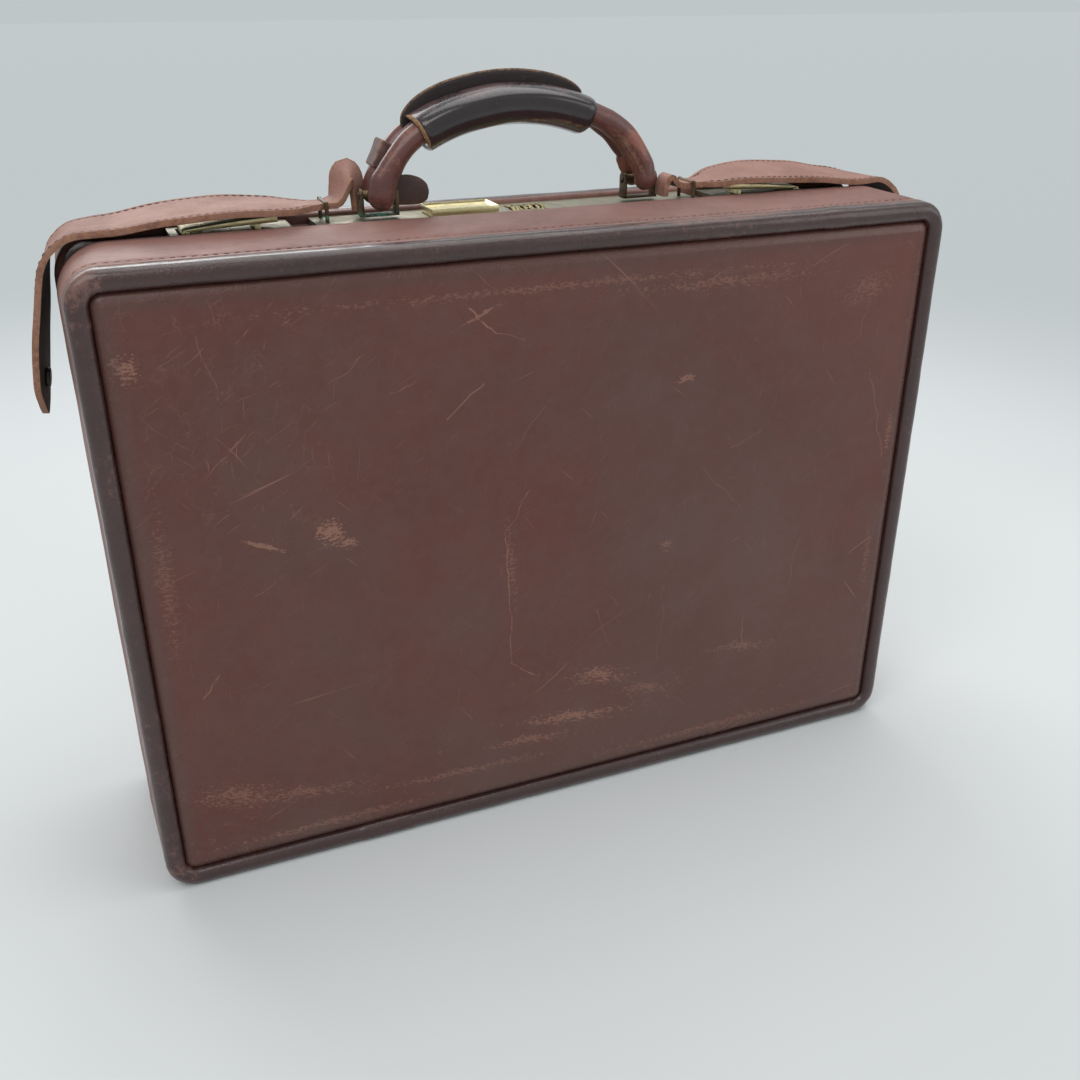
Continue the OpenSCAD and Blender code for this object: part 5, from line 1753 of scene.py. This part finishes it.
def make_button():
    """Tray shaped lock button with thin raised rims."""
    low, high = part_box("lock_button")
    obj = block("button_tray", low, high)
    choose(obj, "FACE", lambda f: f.normal.z > 0.9)
    bpy.ops.mesh.inset(thickness=0.0012)
    bpy.ops.transform.translate(value=(0, 0, -0.0015))
    object_mode()
    soften(obj, 0.00035)
    return outwards(obj)


def make_dial(i):
    """Number dial: a smooth band with raised figures between two milled rims."""
    node = "dial_%d" % i
    low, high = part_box(node)
    mid = (low + high) / 2
    r = (high.z - low.z) / 2
    parts = [rod(node + "_band", (low.x, mid.y, mid.z), (high.x, mid.y, mid.z), r - 0.0006, 60)]
    for x0 in (low.x, high.x - 0.0008):
        parts.append(rod(node + "_rim", (x0, mid.y, mid.z), (x0 + 0.0008, mid.y, mid.z), r, 120))
        for v in parts[-1].data.vertices:
            y, z = v.co.y - mid.y, v.co.z - mid.z
            tooth = 1 - 0.035 * (round(math.degrees(math.atan2(z, y)) / 3) % 2)
            v.co.y, v.co.z = mid.y + y * tooth, mid.z + z * tooth
    dial = join(node + "_wheel", parts)
    metal = len(dial.data.polygons)
    places = sizes().dial_marks
    figures = []
    for k in range(places):
        deselect()
        bpy.ops.object.text_add()
        text = bpy.context.object
        text.data.body = str(k % 10)
        text.data.size = 0.0042
        text.data.extrude = 0.00016
        text.data.align_x = "CENTER"
        text.data.align_y = "CENTER"
        text.data.resolution_u = 3
        bpy.ops.object.convert(target="MESH")
        figure = added("figure")
        turn = Matrix.Rotation(math.radians(360 / places * (k + 0.5 - i)), 4, "X")
        for v in figure.data.vertices:
            v.co = Vector((mid.x, mid.y, mid.z)) + turn @ Vector((v.co.x, v.co.y, r - 0.00056 + v.co.z))
        figures.append(figure)
    whole = join(node + "_wheel", [dial] + figures)
    return whole, metal


def make_lever(side):
    """Latch lever: a brass wedge that lies flat at its hinge and is thick at its free end."""
    node = hand(side) + "_latch_lever"
    reach, half, peg_w = 0.0436, 0.010, 0.003
    pivot = Vector((side * 0.169, MID_Y, PLATE_TOP - 0.0005))
    flat = PLATE_TOP + 0.0003
    obj = block(node + "_brass", (0.0, MID_Y - half, flat), (reach, MID_Y + half, flat + 0.0028))
    subdivided(obj, 12, lambda e: abs((e.verts[0].co - e.verts[1].co).x) > 0.01)
    for v in obj.data.vertices:
        share = v.co.x / reach
        if v.co.z > flat + 0.001:
            v.co.z = flat + 0.0012 + 0.0017 * share + 0.0004 * math.sin(share * math.pi)
        v.co.x = pivot.x - side * v.co.x
    choose(obj, "FACE", lambda f: f.normal.x * side < -0.9)
    bpy.ops.mesh.inset(thickness=0.0005)
    bpy.ops.transform.translate(value=(side * 0.0008, 0, 0))
    object_mode()
    outwards(obj)
    soften(obj, 0.0003, 2, 40)
    eye = rod(node + "_eye", (pivot.x, MID_Y - half, pivot.z), (pivot.x, MID_Y + half, pivot.z), 0.0019, 32,
              0.0002)
    x0, x1 = sorted((side * 0.133, side * 0.133 + side * peg_w))
    peg = block(node + "_peg", (x0, MID_Y - half / 2, hi("lid_strikes").z - 0.0012),
                (x1, MID_Y + half / 2, flat + 0.0003), 0.0003)
    whole = join(node + "_brass", [obj, eye, peg])
    return turned_about(whole, Matrix.Rotation(math.radians(side * 2.5), 4, "Y"), pivot, pivot)


def make_trunnions():
    """Crossed bars in the handle's roots; the leather covers the ends of the short ones."""
    parts = []
    for side in (-1, 1):
        middle = Vector((side * ROOT_X * MM, MID_Y, PIVOT_Z))
        for reach in (Vector((0.0105, 0, 0)), Vector((0, 0.0118, 0))):
            parts.append(rod("bar", middle - reach, middle + reach, 0.002, 24, 0.0003))
    return join("root_bars", parts)


def make_posts():
    """The roots' uprights with rounded tops and softened edges, on one foot each."""
    parts = []
    low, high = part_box("handle_posts")
    wide = high.y - low.y
    for side in (-1, 1):
        foot = [side * high.x, side * (2 * ROOT_X * MM - high.x)]
        parts.append(block("foot", (min(foot), low.y, PLATE_TOP), (max(foot), high.y, PLATE_TOP + 0.0012),
                           0.0002))
        for x in foot:
            x0, x1 = sorted((x, x - math.copysign(0.002, x - side * ROOT_X * MM)))
            parts.append(block("post", (x0, low.y, PLATE_TOP + 0.0004), (x1, high.y, PIVOT_Z), 0.0002))
            parts.append(rod("post_top", (x0, MID_Y, PIVOT_Z), (x1, MID_Y, PIVOT_Z), wide / 2, 40, 0.0003))
    return join("root_posts", parts)


def make_snap(side):
    """Snap cap with a rolled rim and a dished middle, square to the strap's end."""
    node = "strap_snap_" + hand(side)
    line = strap_line(side)
    s = line.at_x(SIDE_X + 14.6)
    middle, along, across, lift = line.frame_at(s)
    half = sizes().strap_t / 2
    cap = rod(node + "_cap", (0, 0, half - 0.0001), (0, 0, half + 0.0014), 0.0058, 48)
    choose(cap, "FACE", lambda f: f.normal.z > 0.9)
    bpy.ops.mesh.inset(thickness=0.0012)
    bpy.ops.mesh.inset(thickness=0.0010)
    bpy.ops.transform.translate(value=(0, 0, -0.0005))
    bpy.ops.mesh.inset(thickness=0.0020)
    bpy.ops.transform.translate(value=(0, 0, 0.0004))
    object_mode()
    soften(cap, 0.0004, 3, 30)
    socket = rod(node + "_socket", (0, 0, -half - 0.0019), (0, 0, -half + 0.0001), 0.0048, 36, 0.0004)
    whole = join(node + "_metal", [cap, socket])
    return outwards(turned_about(whole, Matrix((along, across, lift)).transposed(), Vector(), middle))


class BRIEFCASE_OT_lock(bpy.types.Operator):
    """Adds the lock's button and number dials, and dresses its plate and works"""

    bl_idname = "briefcase.lock"
    bl_label = "Add the lock"

    def execute(self, context):
        m = MATERIALS
        finish_piece(spread(make_button()), "lock_slide", m["brass"], ["lock_button"], 35)
        for i in (1, 2, 3):
            wheel, metal = make_dial(i)
            finish_piece(spread(wheel), "dial_%d_body" % i, [m["dial"], m["ink"]],
                         ["dial_%d" % i], 35)
            for face in wheel.data.polygons:
                face.material_index = int(face.index >= metal)
        dress(["lock_plate", "latch_plates"], m["plate"])
        dress(["lock_housing", "lock_bolt", "dial_axle", "latch_pins", "lid_strikes", "hinge_pins",
               "side_studs"], m["steel"])
        dress(["lock_spring", "latch_springs"], m["spring"])
        return {"FINISHED"}


class BRIEFCASE_OT_fittings(bpy.types.Operator):
    """Adds the latch levers, the handle's posts and bars, the snaps, and dresses the other metal"""

    bl_idname = "briefcase.fittings"
    bl_label = "Add the metal fittings"

    def execute(self, context):
        m = MATERIALS
        pieces = []
        for side in (1, -1):
            word = hand(side)
            pieces += [(make_lever(side), word + "_latch", "brass", "brass_worn", word + "_latch_lever"),
                       (make_snap(side), word + "_end_flap", "snap", "snap_metal", "strap_snap_" + word)]
        pieces += [(make_trunnions(), "handle", "bronze", "brass_worn", "handle_trunnions"),
                   (make_posts(), "base", "bronze", "brass_worn", "handle_posts")]
        for obj, body, look, slot, gone in pieces:
            finish_piece(spread(obj), body, m[look], [gone], 35)
        dress(["strap_staples"], m["bronze"])
        dress(["base_hinge_leaves", "lid_hinge_leaves", "base_stay_pivots", "lid_stay_pivots",
               "stay_arms_base", "stay_arms_lid"], m["plate"])
        return {"FINISHED"}


class BRIEFCASE_OT_inside(bpy.types.Operator):
    """Dresses the boards, linings, pocket and valance inside the case"""

    bl_idname = "briefcase.inside"
    bl_label = "Dress the inside"

    def execute(self, context):
        m = MATERIALS
        boards = [half + part for half in ("base_", "lid_")
                  for part in ("board_top", "board_bottom", "board_left", "board_right", "panel_board")]
        dress(boards, m["board"])
        dress(["base_lining", "lid_lining"], m["lining"])
        dress(["document_pocket"], m["pocket"])
        dress(["valance"], m["band_inner"])
        return {"FINISHED"}


# The stage


def soft_light(name, place, aim, size, power):
    data = bpy.data.lights.new(name, "AREA")
    data.shape = "RECTANGLE"
    data.size, data.size_y = size
    data.energy = power
    lamp = bpy.data.objects.new(name, data)
    bpy.context.scene.collection.objects.link(lamp)
    lamp.location = place
    lamp.rotation_euler = (Vector(aim) - Vector(place)).to_track_quat("-Z", "Y").to_euler()
    return lamp


def add_camera():
    """The photograph's viewpoint: a little left of the lid's middle and above it."""
    data = bpy.data.cameras.new("camera")
    data.lens = 38.2
    data.sensor_width = 36
    data.sensor_fit = "HORIZONTAL"
    data.clip_start = 0.02
    camera = bpy.data.objects.new("camera", data)
    bpy.context.scene.collection.objects.link(camera)
    camera.location = (-0.2236, -0.5649, 0.4394)
    camera.rotation_euler = (math.radians(90 - 26.0), 0, math.radians(-22.4))
    bpy.context.scene.camera = camera


BACKDROP = (0.52, 0.565, 0.575)


def floor_material():
    """Plain pale floor that fades into the backdrop's colour far from the part."""
    mat, g, shader, place = new_material("Pale floor")
    colour = tuple(colours().floor)
    cloud = g.noise(place, 3.0, 2.0)
    fade = g.step(g.vector("LENGTH", place), 0.5, 1.5)
    look = g.mix(cloud, shade(colour, 0.97), shade(colour, 1.03))
    set_look(g, shader, g.mix(fade, look, (0.0, 0.0, 0.0)), 0.9, Specular_IOR_Level=0.1,
             Emission_Color=(*BACKDROP, 1))
    g.put(shader.inputs["Emission Strength"], fade)
    return mat


def studio_world():
    """Even pale light, with the backdrop's plain colour where the camera looks past the floor."""
    world = bpy.data.worlds.new("studio")
    world.use_nodes = True
    g = Graph(world.node_tree)
    light = g.tree.nodes["Background"]
    g.put(light.inputs["Color"], (0.86, 0.90, 0.93))
    g.put(light.inputs["Strength"], 0.55)
    plain = g.node("Background", {"Color": BACKDROP})
    ray = g.node("LightPath").outputs
    seen = largest(g, [ray["Is Camera Ray"], ray["Is Glossy Ray"], ray["Is Transmission Ray"]])
    both = g.node("MixShader", {0: seen, 1: light.outputs[0], 2: plain.outputs[0]})
    g.put(g.tree.nodes["World Output"].inputs["Surface"], both.outputs[0])
    return world


class BRIEFCASE_OT_stage(bpy.types.Operator):
    """Adds the camera, the pale floor and soft lights"""

    bl_idname = "briefcase.stage"
    bl_label = "Add the stage"

    def execute(self, context):
        add_camera()
        deselect()
        bpy.ops.mesh.primitive_plane_add(size=30, location=(0, 0, 0))
        floor = added("stage_floor")
        smooth(apply_place(floor))
        floor.data.materials.append(floor_material())
        soft_light("key_light", (-0.9, -1.1, 1.9), (0, 0, 0.2), (1.6, 1.2), 18)
        soft_light("top_light", (0.5, 0.3, 2.2), (0, 0, 0.2), (2.0, 1.6), 20)
        soft_light("fill_light", (1.6, -1.2, 1.0), (0, 0, 0.2), (1.4, 1.2), 7)
        soft_light("back_light", (-0.3, 1.9, 1.3), (0, 0, 0.2), (1.8, 1.0), 17)
        context.scene.world = studio_world()
        return {"FINISHED"}


PIECES = ["panels", "rolls", "bands", "straps", "handle", "lock", "fittings", "inside"]


class BRIEFCASE_PT_panel(bpy.types.Panel):
    """Lists the pieces of the briefcase and their sizes and colours"""

    bl_label = "Briefcase"
    bl_idname = "BRIEFCASE_PT_panel"
    bl_space_type = "VIEW_3D"
    bl_region_type = "UI"
    bl_category = "Briefcase"

    def draw(self, context):
        layout = self.layout
        for group in (context.scene.briefcase_sizes, context.scene.briefcase_colours):
            box = layout.box()
            for name in group.bl_rna.properties.keys():
                if name not in ("rna_type", "name"):
                    box.prop(group, name)
        for piece in PIECES + ["stage"]:
            layout.operator("briefcase." + piece)


CLASSES = [BriefcaseSizes, BriefcaseColours, BRIEFCASE_OT_panels, BRIEFCASE_OT_rolls, BRIEFCASE_OT_bands,
           BRIEFCASE_OT_straps, BRIEFCASE_OT_handle, BRIEFCASE_OT_lock, BRIEFCASE_OT_fittings,
           BRIEFCASE_OT_inside, BRIEFCASE_OT_stage, BRIEFCASE_PT_panel]


def register():
    for c in CLASSES:
        bpy.utils.register_class(c)
    bpy.types.Scene.briefcase_sizes = PointerProperty(type=BriefcaseSizes)
    bpy.types.Scene.briefcase_colours = PointerProperty(type=BriefcaseColours)


def unregister():
    del bpy.types.Scene.briefcase_colours
    del bpy.types.Scene.briefcase_sizes
    for c in reversed(CLASSES):
        bpy.utils.unregister_class(c)


def main():
    register()
    bpy.context.scene.view_settings.view_transform = "Standard"
    bpy.ops.briefcase.stage()
    build_materials()
    for piece in PIECES:
        getattr(bpy.ops.briefcase, piece)()


if __name__ == "__main__":
    main()
